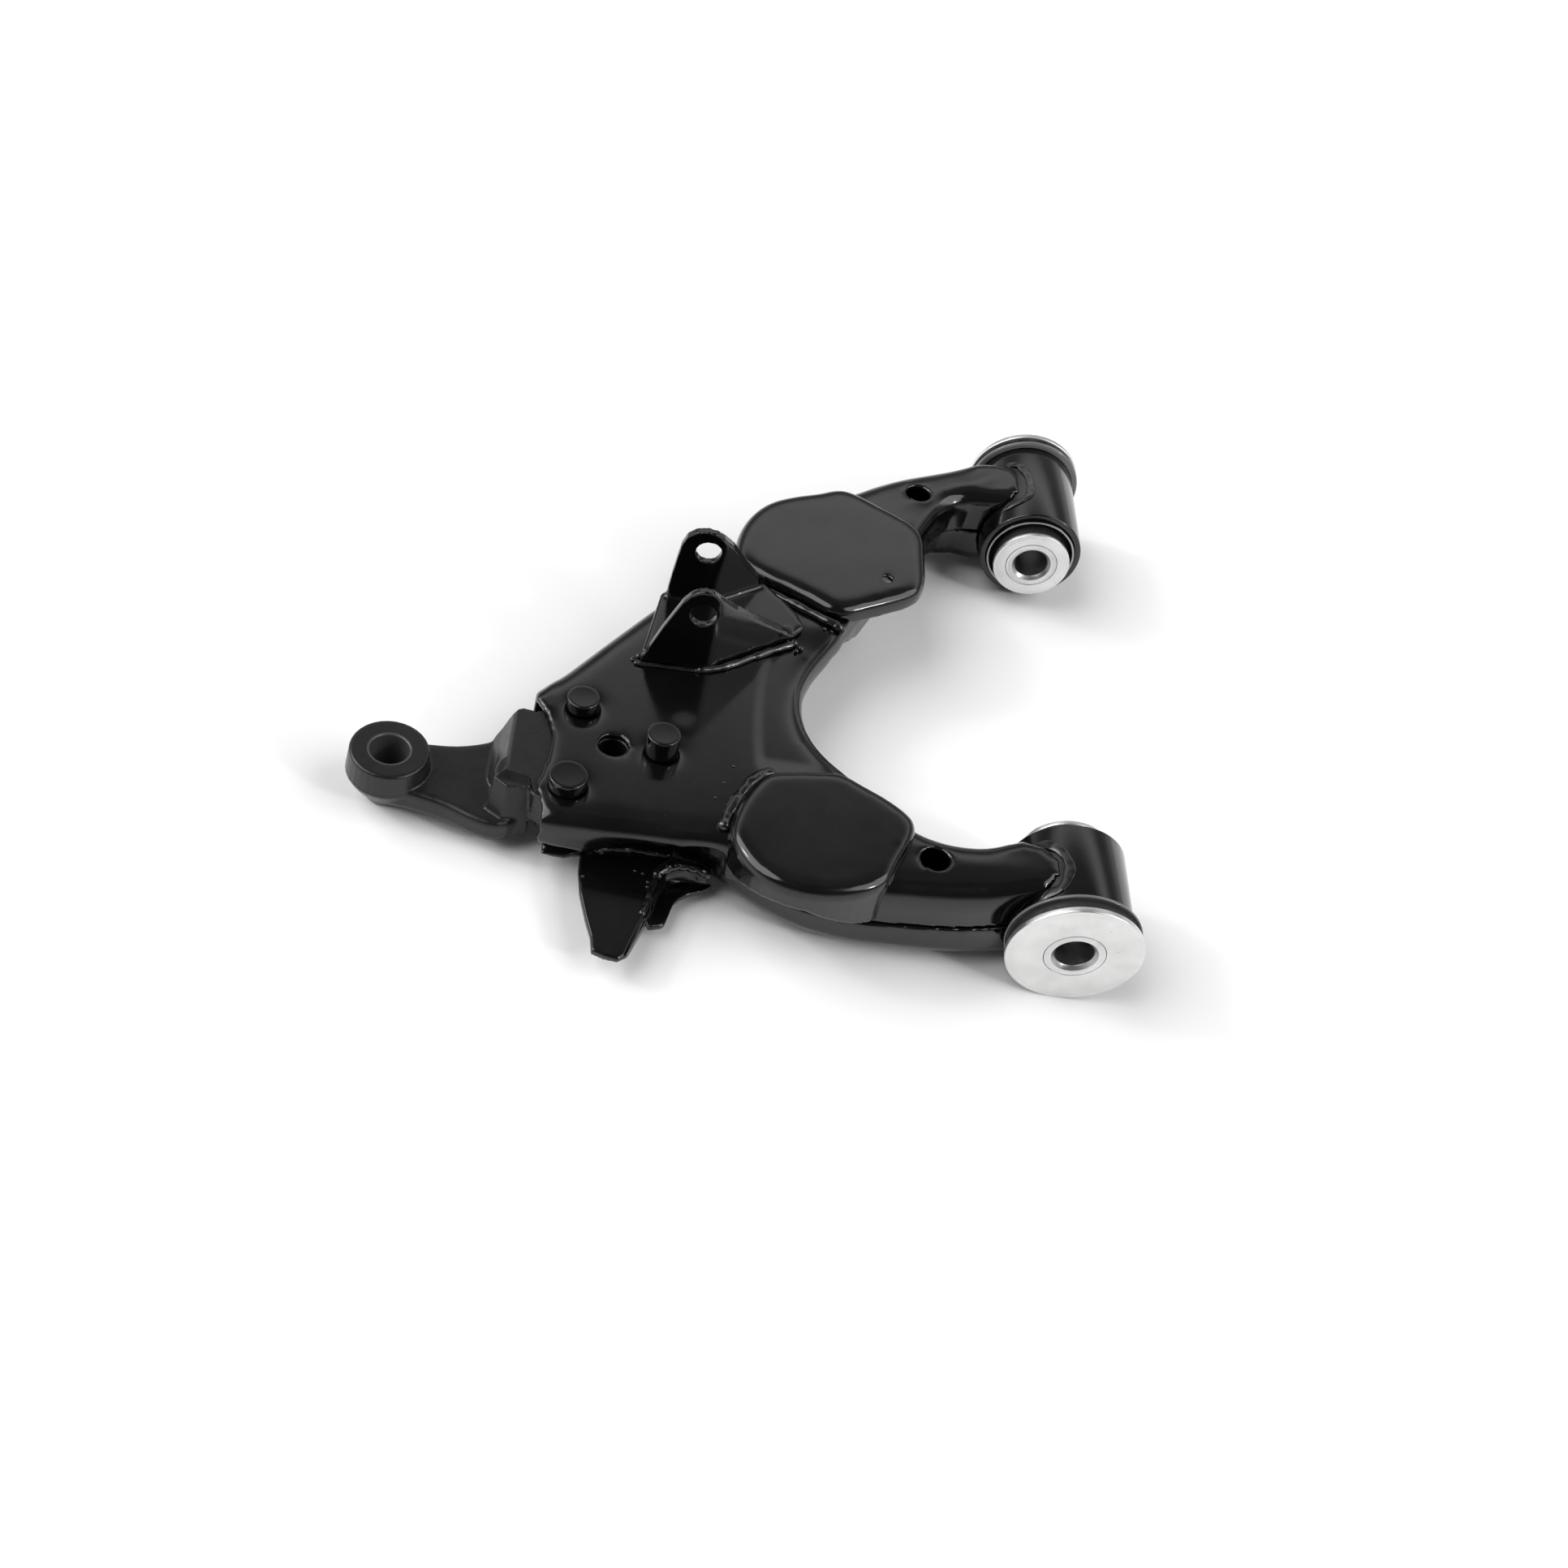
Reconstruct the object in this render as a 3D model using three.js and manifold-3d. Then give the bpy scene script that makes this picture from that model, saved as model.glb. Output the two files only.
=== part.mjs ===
// Front lower control arm of a light off-road vehicle, in millimetres, +Z up.
// The bush pivot axis runs along +Y and the ball-joint eye points to -X. The arm stands on
// its two large bush washers and on the eye. Two pressed steel shells, three rivets, a forged
// ball-joint arm, two bump pads, a shock bracket and a stabiliser bracket make the welded arm;
// each of the two bushes has a core (inner tube and washers) that turns in its rubber.
import * as THREE from 'three';
import Module from 'manifold-3d';
import { mergeVertices } from 'three/addons/utils/BufferGeometryUtils.js';

const wasm = await Module();
wasm.setup();

// ---------------------------------------------------------------- driving dimensions
const clearance = 0.3;          // gap left between touching pieces
const sheet = 3.5;              // pressed steel thickness
const foldRadius = 8;           // outside radius of the rolled shell edges
const roofSlope = 3.55;         // degrees the shell roof falls towards the ball joint
const roofAtPivot = 59.7;       // roof height above the ground, extended to the pivot axis
const wallDepth = 26;           // depth of the upper shell's side walls
const floorHeight = 8;          // underside of the lower shell
const floorRise = { from: -190, slope: 0.094 };     // the floor climbs towards the outer end
const tongueRise = { from: -55, height: 7, over: 49 };  // the legs climb onto the eye tubes

const tube = { radius: 31, wall: 3.6 };
const sleeve = { radius: 27.0, wall: 1.9, flangeRadius: 34.7, flange: 2.2 };
const core = { radius: 15.5, bore: 10, chamfer: 2 };
const largeWasher = { radius: 35, thickness: 3.7 };
const smallWasher = { radius: 23.3, thickness: 2.6 };
const pivotHeight = largeWasher.radius;

// bush positions along the pivot axis; outward is the side of the large washer
const bushes = {
  front: { outward: -1, flangeFace: -55.7, tubeLength: 48, washerGap: 6.2, innerGap: 7 },
  rear: { outward: 1, flangeFace: 314.4, tubeLength: 67, washerGap: 3.6, innerGap: 7 },
};

const eye = { x: -349, y: -5, radius: 19.6, top: 32.6, bottom: 0.4, bossRadius: 12.6 };
const taper = { top: 9.8, bottom: 7.4 };
const rivets = {
  rivet_outer_rear: { x: -259, y: 37, radius: 8.4, head: 7 },
  rivet_outer_front: { x: -261, y: -18, radius: 9.6, head: 7.5 },
  rivet_inner: { x: -217, y: 13, radius: 8.5, head: 13 },
};
const rivetShank = 6;
const locatingHole = { x: -241, y: 13, radius: 7.4 };
const legHoles = [{ x: -77, y: 257 }, { x: -77, y: -35 }];
const legHoleRadius = 7.5;
const padHeight = 8;            // bump pads stand this far above the roof

// ---------------------------------------------------------------- materials
const paint = (shade, rough) => new THREE.MeshStandardMaterial({
  color: new THREE.Color(shade, shade, shade), roughness: rough, metalness: 0 });
const glossPaint = () => paint(0.028, 0.22);
const forgedPaint = () => paint(0.035, 0.45);
const rubber = () => paint(0.012, 0.75);
const zinc = () => new THREE.MeshStandardMaterial({
  color: new THREE.Color(0.62, 0.63, 0.64), roughness: 0.34, metalness: 1 });

// ---------------------------------------------------------------- geometry helpers
const toSolid = (geometry) => {
  const bare = new THREE.BufferGeometry();
  bare.setAttribute('position', geometry.getAttribute('position').clone());
  if (geometry.index) bare.setIndex(geometry.index.clone());
  const welded = mergeVertices(bare, 1e-4);
  const corners = Array.from(welded.index.array);
  const build = () => new wasm.Manifold(new wasm.Mesh({ numProp: 3,
    vertProperties: new Float32Array(welded.getAttribute('position').array),
    triVerts: new Uint32Array(corners) }));
  const solid = build();
  if (solid.volume() > 0) return solid;
  // the profile ran the other way round, so its faces are turned outwards
  for (let i = 0; i < corners.length; i += 3) {
    [corners[i + 1], corners[i + 2]] = [corners[i + 2], corners[i + 1]];
  }
  return build();
};
const toGeometry = (solid) => {
  const mesh = solid.getMesh();
  const geometry = new THREE.BufferGeometry();
  geometry.setAttribute('position', new THREE.BufferAttribute(mesh.vertProperties, 3));
  geometry.setIndex(new THREE.BufferAttribute(mesh.triVerts, 1));
  geometry.computeVertexNormals();
  return geometry;
};
const cut = (solid, ...tools) => tools.reduce((left, tool) => left.subtract(tool), solid);
const join = (...solids) => solids.reduce((whole, solid) => whole.add(solid));

// smooth closed outline through the given [x, y] points
const loop = (points, count) => new THREE.CatmullRomCurve3(
  points.map(([x, y]) => new THREE.Vector3(x, y, 0)), true, 'centripetal')
  .getSpacedPoints(count).slice(0, -1).map((p) => new THREE.Vector2(p.x, p.y));
const curve = (points, count) => new THREE.SplineCurve(
  points.map(([x, y]) => new THREE.Vector2(x, y))).getPoints(count);

// moves every point of a closed outline sideways; positive is outwards
const offset = (outline, distance) => {
  const turn = Math.sign(THREE.ShapeUtils.area(outline));
  return outline.map((point, i) => {
    const before = outline[(i + outline.length - 1) % outline.length];
    const after = outline[(i + 1) % outline.length];
    const a = point.clone().sub(before).normalize();
    const b = after.clone().sub(point).normalize();
    const normal = new THREE.Vector2(a.y + b.y, -a.x - b.x).normalize().multiplyScalar(turn);
    const stretch = 1 / Math.max(0.5, normal.dot(new THREE.Vector2(a.y, -a.x)) * turn);
    return point.clone().addScaledVector(normal, distance * stretch);
  });
};
// upright prism between two heights; a fold rounds its top edge, or its bottom edge
const prism = (outline, low, high, fold = 0, segments = 3, bottom = false) => {
  const shape = new THREE.Shape(outline);
  if (!fold) {
    return toSolid(new THREE.ExtrudeGeometry(shape, { depth: high - low, bevelEnabled: false })
      .translate(0, 0, low));
  }
  const full = toSolid(new THREE.ExtrudeGeometry(shape, { depth: high - low,
    bevelEnabled: true, bevelThickness: fold, bevelSize: fold, bevelOffset: -fold,
    bevelSegments: segments }).translate(0, 0, bottom ? low + fold : low - fold));
  return cut(full, bottom ? slab(high, high + 3 * fold) : slab(low - 3 * fold, low));
};
const slab = (low, high) => toSolid(
  new THREE.BoxGeometry(900, 900, high - low).translate(0, 0, (low + high) / 2));
const box = (x0, x1, y0, y1, z0, z1) => toSolid(
  new THREE.BoxGeometry(x1 - x0, y1 - y0, z1 - z0)
    .translate((x0 + x1) / 2, (y0 + y1) / 2, (z0 + z1) / 2));
const post = (x, y, radius, low, high, sides = 20) => toSolid(
  new THREE.CylinderGeometry(radius, radius, high - low, sides).rotateX(Math.PI / 2)
    .translate(x, y, (low + high) / 2));
// solid of revolution about the pivot axis, profile given as [radius, y]
const turned = (profile, sides = 40) => toSolid(new THREE.LatheGeometry(
  [...profile, profile[0]].map(([r, y]) => new THREE.Vector2(r, y)), sides)
  .translate(0, 0, pivotHeight));
const pivotCylinder = (radius) => toSolid(new THREE.CylinderGeometry(radius, radius, 500, 40)
  .translate(0, 128, pivotHeight));
// plate of the given side view (x, z), standing on a path seen from above
const standingPlate = (path, thickness, low, high) => {
  const half = thickness / 2;
  const normalAt = (i) => {
    const a = path[Math.max(i - 1, 0)], b = path[Math.min(i + 1, path.length - 1)];
    return new THREE.Vector2(-(b.y - a.y), b.x - a.x).normalize();
  };
  const left = path.map((p, i) => p.clone().addScaledVector(normalAt(i), half));
  const right = path.map((p, i) => p.clone().addScaledVector(normalAt(i), -half));
  return prism([...right, ...left.reverse()], low, high);
};
const sideView = (points, y0, y1) => toSolid(new THREE.ExtrudeGeometry(
  new THREE.Shape(points.map(([x, z]) => new THREE.Vector2(x, z))),
  { depth: y1 - y0, bevelEnabled: false }).rotateX(Math.PI / 2).translate(0, y1, 0));

// solid of the given front view (y, z) between two x positions
const frontView = (points, x0, x1) => toSolid(new THREE.ExtrudeGeometry(
  new THREE.Shape(points.map(([y, z]) => new THREE.Vector2(y, z))),
  { depth: x1 - x0, bevelEnabled: false })
  .applyMatrix4(new THREE.Matrix4().makeBasis(new THREE.Vector3(0, 1, 0),
    new THREE.Vector3(0, 0, 1), new THREE.Vector3(1, 0, 0))).translate(x0, 0, 0));

// weld bead laid along a path of [x, y, z] points
const bead = (points, radius, ripples = 0) => {
  const path = new THREE.CatmullRomCurve3(points.map((p) => new THREE.Vector3(...p)));
  const steps = Math.max(6, Math.round(path.getLength() / 5));
  const tubeGeometry = new THREE.TubeGeometry(path, steps, radius, 8, false);
  const positions = tubeGeometry.getAttribute('position');
  const rings = [];
  for (let ring = 0; ring <= steps; ring += 1) {
    const centre = path.getPointAt(ring / steps);
    const swell = (ring === 0 || ring === steps ? 0.55 : 1) + ripples * (ring % 2 ? 1 : -1);
    for (let side = 0; side <= 8; side += 1) {
      const k = ring * 9 + side;
      const p = new THREE.Vector3().fromBufferAttribute(positions, k);
      p.sub(centre).multiplyScalar(swell).add(centre);
      positions.setXYZ(k, p.x, p.y, p.z);
    }
    rings.push(centre);
  }
  // close both ends with a fan on the first and last ring
  const index = Array.from(tubeGeometry.index.array);
  for (let side = 1; side < 7; side += 1) {
    index.push(0, side, side + 1);
    index.push(steps * 9, steps * 9 + side + 1, steps * 9 + side);
  }
  tubeGeometry.setIndex(index);
  const solid = toSolid(tubeGeometry);
  return solid;
};

// the shell roof plane: bodies built level at z = 0 are tilted onto it
const roofFrame = new THREE.Matrix4().makeTranslation(0, 0, roofAtPivot)
  .multiply(new THREE.Matrix4().makeRotationY(-THREE.MathUtils.degToRad(roofSlope)));
const onRoof = (solid) => toSolid(toGeometry(solid).applyMatrix4(roofFrame));

// lifts the part of a level body beyond tongueRise.from in a smooth climb
const climb = (x) => tongueRise.height
  * (Math.max(0, x - tongueRise.from) / tongueRise.over) ** 1.5;
const raised = (solid) => {
  const stops = [-400, tongueRise.from, -44, -34, -24, -14, 60];
  return join(...stops.slice(1).map((stop, i) => {
    const geometry = toGeometry(solid.intersect(box(stops[i], stop, -200, 400, -100, 100)));
    const position = geometry.getAttribute('position');
    for (let k = 0; k < position.count; k += 1) {
      position.setZ(k, position.getZ(k) + climb(position.getX(k)));
    }
    return toSolid(geometry);
  }));
};
const floorAt = (x) => floorHeight + floorRise.slope * Math.max(0, floorRise.from - x);

const arm = new THREE.Group();
arm.name = 'control_arm';
const weldedArm = new THREE.Group();
weldedArm.name = 'welded_arm';
arm.add(weldedArm);
const place = (group, name, solid, material) => {
  const mesh = new THREE.Mesh(toGeometry(solid), material);
  mesh.name = name;
  group.add(mesh);
};

// ---------------------------------------------------------------- plan outlines
// upper shell, from the outer end along the front leg, round the arch and back
const upperOutline = loop([
  [-310, -43], [-270, -43], [-240, -43], [-210, -42.5], [-186, -41.5], [-168, -46],
  [-150, -53], [-130, -58], [-108, -59.5], [-88, -58.5], [-68, -57], [-48, -54], [-32, -50],
  [-20, -47], [-12.5, -42], [-10.5, -34], [-12.5, -25], [-20, -17], [-31, -13.5],
  [-46, -18], [-60, -19.5], [-76, -18], [-91, -10], [-104, 3],
  [-118, 17], [-131, 29], [-139.5, 42], [-144, 57], [-144, 72], [-141, 84], [-134, 100],
  [-124, 118], [-117, 136], [-107, 157], [-95, 181], [-82, 206], [-71, 229], [-63, 246],
  [-54, 256.5], [-43, 260.5], [-31, 260], [-20, 260.5], [-11, 265], [-8.5, 275],
  [-10, 287], [-16, 295], [-30, 300], [-47, 295.5], [-66, 285.5], [-86, 275.5],
  [-103, 264.5], [-115, 255], [-132, 242], [-152, 222.5], [-175, 194], [-196, 168],
  [-224, 132], [-248, 98.5], [-264, 75.5], [-274, 61], [-285, 46.5], [-312, 10]], 100);
// lower shell: set back over the stabiliser bracket, round the arch and under the rear pad
const lowerOutline = loop([
  [-310, -41.5], [-275, -41.5], [-256, -41], [-247, -38], [-240, -31], [-222, -29],
  [-200, -29], [-186, -31], [-176, -37], [-163, -46], [-150, -52.5], [-139, -57],
  [-124, -60], [-110, -61], [-91, -60], [-69, -58.5], [-45, -55], [-30, -51], [-18, -47],
  [-10, -40], [-10, -26], [-18, -17], [-31, -13], [-46, -17], [-60, -18], [-76, -17],
  [-92, -9], [-112, 8], [-130, 20], [-146, 34], [-156, 50], [-158, 68], [-155, 86],
  [-148, 103], [-139, 122], [-129, 143], [-116, 163], [-103, 184], [-90, 207], [-78, 229],
  [-68, 246], [-57, 257], [-43, 262], [-31, 261], [-18, 262], [-10, 270], [-10, 285],
  [-18, 296], [-31, 300], [-47, 295], [-66, 285], [-86, 275], [-103, 264], [-115, 254.5],
  [-132, 241.5], [-152, 222], [-175, 193.5], [-196, 167], [-224, 130], [-247, 96],
  [-262, 72], [-272, 57], [-283, 44.5], [-310, 7]], 96);
// open outer end of both shells
const endCut = (shift) => prism([[-340, 70], [-283 + shift, 70], [-283 + shift, 40],
  [-276 + shift, 29], [-273 + shift, 14], [-274 + shift, -3], [-276 + shift, -20],
  [-273 + shift, -36], [-273 + shift, -70], [-340, -70]]
  .map(([x, y]) => new THREE.Vector2(x, y)), -60, 90);
const frontPadOutline = loop([
  [-181, -40], [-176, -53], [-167, -64], [-154, -71], [-135, -73], [-115, -68], [-103, -60],
  [-96, -44], [-88.5, -26], [-88, -17], [-99, -6], [-114, 3], [-127, 10], [-133, 9],
  [-155, 5.5], [-165, 2], [-172, -8], [-178, -22]], 42);
const rearPadOutline = loop([
  [-187, 168], [-187, 180], [-184, 195], [-178, 208.5], [-169, 220], [-155, 229],
  [-138, 236.5], [-131, 241], [-123, 242.5], [-100, 230.5], [-82, 219], [-76.5, 210],
  [-76, 190], [-76.5, 170], [-80, 158], [-92, 148.5], [-108, 139], [-124, 130.5],
  [-131, 130], [-141, 136], [-157, 144.5], [-172, 151], [-182, 158]], 46);

// ---------------------------------------------------------------- pressed shells
const rivetHoles = () => join(...Object.values(rivets).map(
  ({ x, y }) => onRoof(post(x, y, rivetShank + clearance, -70, 20, 20))));
const locator = () => post(locatingHole.x, locatingHole.y, locatingHole.radius, -20, 80);
const tubeRoom = () => pivotCylinder(tube.radius + clearance);
// the upper shell grown by a gap, used to trim whatever is welded on top of it
const upperEnvelope = (gap) => onRoof(prism(offset(upperOutline, gap), -70, gap, foldRadius));

// near side: line where the upper shell's wall ends, from the outer end to the front pad
const nearSeam = [[-340, -15.5], [-272, -18], [-246, -21]];
const farSeam = -22.5;
// near outer corner of both shells, sloped back towards the ground
const nearCorner = () => sideView([[-300, 60], [-276, 60], [-274.5, 42], [-270, 22], [-267.5, 14],
  [-267, 0], [-300, 0]], -70, -24);

// along the arch the upper shell's wall is short, and the lower shell's wall stands below it
const archWall = { depth: 14, x: [-165, -92], y: [1, 128], fadeTo: 152 };

const upperShell = () => {
  const skin = raised(prism(upperOutline, -wallDepth, 0, foldRadius));
  const inside = raised(prism(offset(upperOutline, -sheet), -60, -sheet, foldRadius - sheet, 2));
  const archEdge = join(box(...archWall.x, ...archWall.y, -60, -archWall.depth),
    frontView([[archWall.y[1] - 0.1, -60], [archWall.y[1] - 0.1, -archWall.depth],
      [archWall.y[1], -archWall.depth], [archWall.fadeTo, -wallDepth - 2],
      [archWall.fadeTo, -60]], ...archWall.x));
  const outerSeam = box(-340, -247, -28, 120, -60, farSeam);
  const window = sideView([[-340, -60], ...nearSeam, [-243.5, -18], [-235, -13.5], [-212, -10.5],
    [-190, -9], [-181, -10.5], [-176, -60]], -60, -28);
  const legDrain = legHoles.map(({ x, y }) => post(x, y, legHoleRadius, 40, 80));
  return cut(onRoof(cut(skin, inside, archEdge, outerSeam, window)), tubeRoom(), endCut(0),
    nearCorner(), rivetHoles(), locator(), ...legDrain);
};
const lowerShell = () => {
  const belowFloor = (lift) => sideView([[-400, -40], [-400, floorAt(-400) + lift],
    [floorRise.from, floorAt(floorRise.from) + lift], [60, floorHeight + lift], [60, -40]],
  -150, 400);
  const tray = cut(prism(lowerOutline, floorHeight, 80, 6, 2, true), belowFloor(0),
    cut(prism(offset(lowerOutline, -sheet), floorHeight + sheet, 90, 2.5, 1, true),
      belowFloor(sheet)));
  const band = (low) => cut(onRoof(prism(offset(upperOutline, 4), low, 30)),
    onRoof(prism(offset(upperOutline, -7), -70, 60)));
  const aboveSeam = join(box(-340, -246, -28.5, 130, farSeam - clearance, 90),
    sideView([...nearSeam.map(([x, z]) => [x, z - clearance]), [-246, 40], [-340, 40]],
      -90, -28));
  const underRoof = raised(prism(offset(upperOutline, -sheet - clearance), -70,
    -sheet - clearance, foldRadius - sheet, 2));
  const aboveRoof = onRoof(cut(slab(-16, 120), underRoof));
  const arch = box(...archWall.x, archWall.y[0] + clearance, archWall.y[1], -100, 100);
  return cut(tray, aboveRoof, cut(band(-wallDepth - clearance), arch),
    band(-archWall.depth - clearance), band(-60).intersect(onRoof(aboveSeam)),
    tubeRoom(), endCut(2), nearCorner(), rivetHoles(), locator());
};

// ---------------------------------------------------------------- forged ball-joint arm
const forging = () => {
  const { x, y, radius, top, bottom, bossRadius } = eye;
  const ring = [[0, top], [radius - 0.8, top], [radius, top - 0.8], [radius + 0.9, 19.6],
    [radius + 1.2, 18.6], [radius + 0.6, 17.4], [radius - 0.8, 14.6], [radius - 2.6, 11.6],
    [radius - 4.6, 9], [bossRadius + 0.8, 6.8], [bossRadius - 0.6, 4.4], [bossRadius - 1.8, 2],
    [bossRadius - 3, bottom], [0, bottom]];
  const eyeBody = toSolid(new THREE.LatheGeometry(
    ring.reverse().map(([r, z]) => new THREE.Vector2(r, z)), 32)
    .rotateX(Math.PI / 2).translate(x, y, 0));
  const bore = toSolid(new THREE.CylinderGeometry(taper.top, taper.bottom, top - bottom, 24)
    .scale(1, 1.02, 1).rotateX(Math.PI / 2).translate(x, y, (top + bottom) / 2));
  const neck = loop([[-352, -20], [-335, -22.5], [-318, -26], [-305, -31], [-294, -33.5],
    [-286, -31], [-281, -24], [-279, -12], [-281, 6], [-286, 24], [-295, 28], [-303, 22],
    [-318, 16], [-333, 13.8], [-352, 12], [-356, -4]], 44);
  const neckBody = prism(neck, 7, 22, 2.5, 2)
    .intersect(prism(offset(neck, 0.01), 7, 40, 5, 2, true));
  const lug = prism(loop([[-297, -10], [-295.5, -16], [-291, -21], [-286.5, -23], [-281.5, -18.5],
    [-277, -16], [-276.5, -6], [-284, 2], [-294, 0]], 26), 8, 36.5, 1.6, 2);
  const block = loop([[-303, 20], [-297, 28], [-288, 34], [-280, 33], [-271, 38],
    [-260, 48], [-246, 46], [-226, 36], [-206, 27], [-199, 13], [-206, 0], [-226, -8],
    [-243, -20], [-260, -29], [-276, -24.5], [-284, -17], [-291, -12.5], [-299, -6],
    [-301, 6]], 40);
  const under = (px) => floorAt(px) + sheet + clearance;
  const blockSide = sideView([[-304, 12], [-301, 21], [-297, 27], [-292.5, 36], [-289.5, 39],
    [-200, 48], [floorRise.from, 48], [floorRise.from, under(floorRise.from)],
    [-283.5, under(-283.5)], [-284.5, 12], [-292, 9], [-298, 9]], -40, 60);
  const blockBody = cut(prism(block, 0, 60), onRoof(slab(-sheet - clearance, 80)))
    .intersect(blockSide);
  return cut(join(eyeBody, neckBody, lug, blockBody), bore, rivetHoles(), locator());
};
const rivet = ({ x, y, radius, head }) => {
  const roof = roofAtPivot + x * Math.tan(THREE.MathUtils.degToRad(roofSlope));
  const under = floorAt(x) - 2 - roof;
  const profile = [[0, head], [radius - 1.2, head], [radius, head - 1.2],
    [radius, clearance], [rivetShank, clearance], [rivetShank, under], [radius, under],
    [radius, under - 1.5], [radius - 3, under - 4], [0, under - 4]];
  return onRoof(toSolid(new THREE.LatheGeometry(
    profile.map(([r, z]) => new THREE.Vector2(r, z)), 20).rotateX(Math.PI / 2)
    .translate(x, y, 0)));
};

// ---------------------------------------------------------------- bump pads
// pressed cap with a skirt; the skirt is trimmed to the shell and to a side view
const bumpPad = (outline, skirt) => {
  const cap = cut(prism(outline, -40, padHeight, 5, 3), prism(offset(outline, -3), -60,
    padHeight - 3, 2, 1));
  return cut(onRoof(cut(cap, skirt)), upperEnvelope(clearance));
};
const frontPad = () => bumpPad(frontPadOutline, sideView([[-200, -14], [-178, -12.5],
  [-166, -8], [-156, -6.5], [-141, -7.5], [-128, -13], [-116, -18], [-98, -24],
  [-80, -26], [-80, -60], [-200, -60]], -90, 30));
const rearPad = () => cut(bumpPad(rearPadOutline, slab(-60, -5)),
  onRoof(post(-100, 163, 3, -2, 20, 16)));

// ---------------------------------------------------------------- shock absorber bracket
const plate = 4.5;
const boltHole = { x: -204.5, height: 39, radius: 6.9 };
const earBend = { angle: THREE.MathUtils.degToRad(36), radius: 14 };
// plan view of an ear: straight along X, then turned inboard by the bend
const earPath = (outerX, y, bendX, innerX) => {
  const { angle, radius } = earBend;
  const start = bendX - radius * Math.tan(angle / 2);
  const path = new THREE.Path().moveTo(outerX, y);
  path.lineTo(start, y);
  path.absarc(start, y + radius, radius, -Math.PI / 2, angle - Math.PI / 2, false);
  path.lineTo(innerX, y + (innerX - bendX) * Math.tan(angle));
  return path.getPoints(4);
};
const frontEar = { path: earPath(-236, 77, -199, -152),
  side: [[-234, 0.5], [-231, 8], [-224, 27], [-216, 46], [-212.5, 51], [-209, 53.6],
    [-205, 54.6], [-201, 53.6], [-197.5, 50], [-187, 38], [-174.5, 25.5], [-162.5, 13.5],
    [-155, 6.5], [-152.5, 0.5]] };
const rearEar = { path: earPath(-228, 127, -199, -168),
  side: [[-224, 0.5], [-221.5, 25], [-219.5, 41], [-217, 47.5], [-212.5, 51.4], [-206.5, 52.8],
    [-201, 51.8], [-197, 48.5], [-191, 40.5], [-182, 24.5], [-173, 10], [-169.5, 0.5]] };
const ear = ({ path, side }, y0, y1) => standingPlate(path, plate, 0.5, 60)
  .intersect(sideView(side, y0, y1));
const bracketWeb = (gap) => prism([[-234, 74.8], [-202, 75], [-195, 77.6], [-184, 85.4],
  [-163, 101.4], [-152, 109], [-146, 117], [-150, 127], [-158, 136.5], [-169, 149],
  [-180, 142.5], [-188, 136.5], [-196, 131.4], [-203, 129.4], [-226, 128.6]]
  .map(([x, y]) => new THREE.Vector2(x, y)), clearance - gap, clearance + plate + gap);
const shockBracket = () => {
  const bolt = toSolid(new THREE.CylinderGeometry(boltHole.radius, boltHole.radius, 120, 32)
    .translate(boltHole.x, 105, boltHole.height));
  const body = join(ear(frontEar, 60, 125), ear(rearEar, 115, 160), bracketWeb(0));
  return onRoof(cut(body, bolt, prism(offset(rearPadOutline, 0.5), -10, 30)));
};

// ---------------------------------------------------------------- stabiliser bracket
const arrow = (points) => points.map(([x, y]) => new THREE.Vector2(x, y));
const lowerEnvelope = (gap) => prism(offset(lowerOutline, gap), 0, 60);
const flangePath = arrow([[-222.6, -96.5], [-212, -63]]);
const wingOutline = arrow([[-249, -25], [-248.6, -48], [-246.5, -62], [-242.5, -76],
  [-238.8, -87], [-237.4, -95.5], [-231, -97.6], [-224.6, -98.6], [-221.5, -96], [-216, -77],
  [-210, -59], [-204, -40], [-202, -20]]);
const stabiliserBracket = () => {
  const wing = prism(wingOutline, 13.2, 17, 0.8, 1);
  const flange = standingPlate(flangePath, 4, 3, 15).intersect(frontView(
    [[-97, 16], [-93, 11.5], [-76, 6], [-62, 3], [-50, 3], [-50, 16]], -240, -190));
  return cut(join(wing, flange), lowerEnvelope(clearance));
};
const stabiliserGusset = () => cut(standingPlate(curve([[-212, -66], [-204, -58],
  [-197, -48], [-189, -40.5], [-176, -32]], 10), 4, 3, 16), lowerEnvelope(clearance),
  standingPlate(flangePath, 4 + 2 * clearance, 0, 30), prism(offset(wingOutline, clearance),
    12.9, 20));

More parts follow.
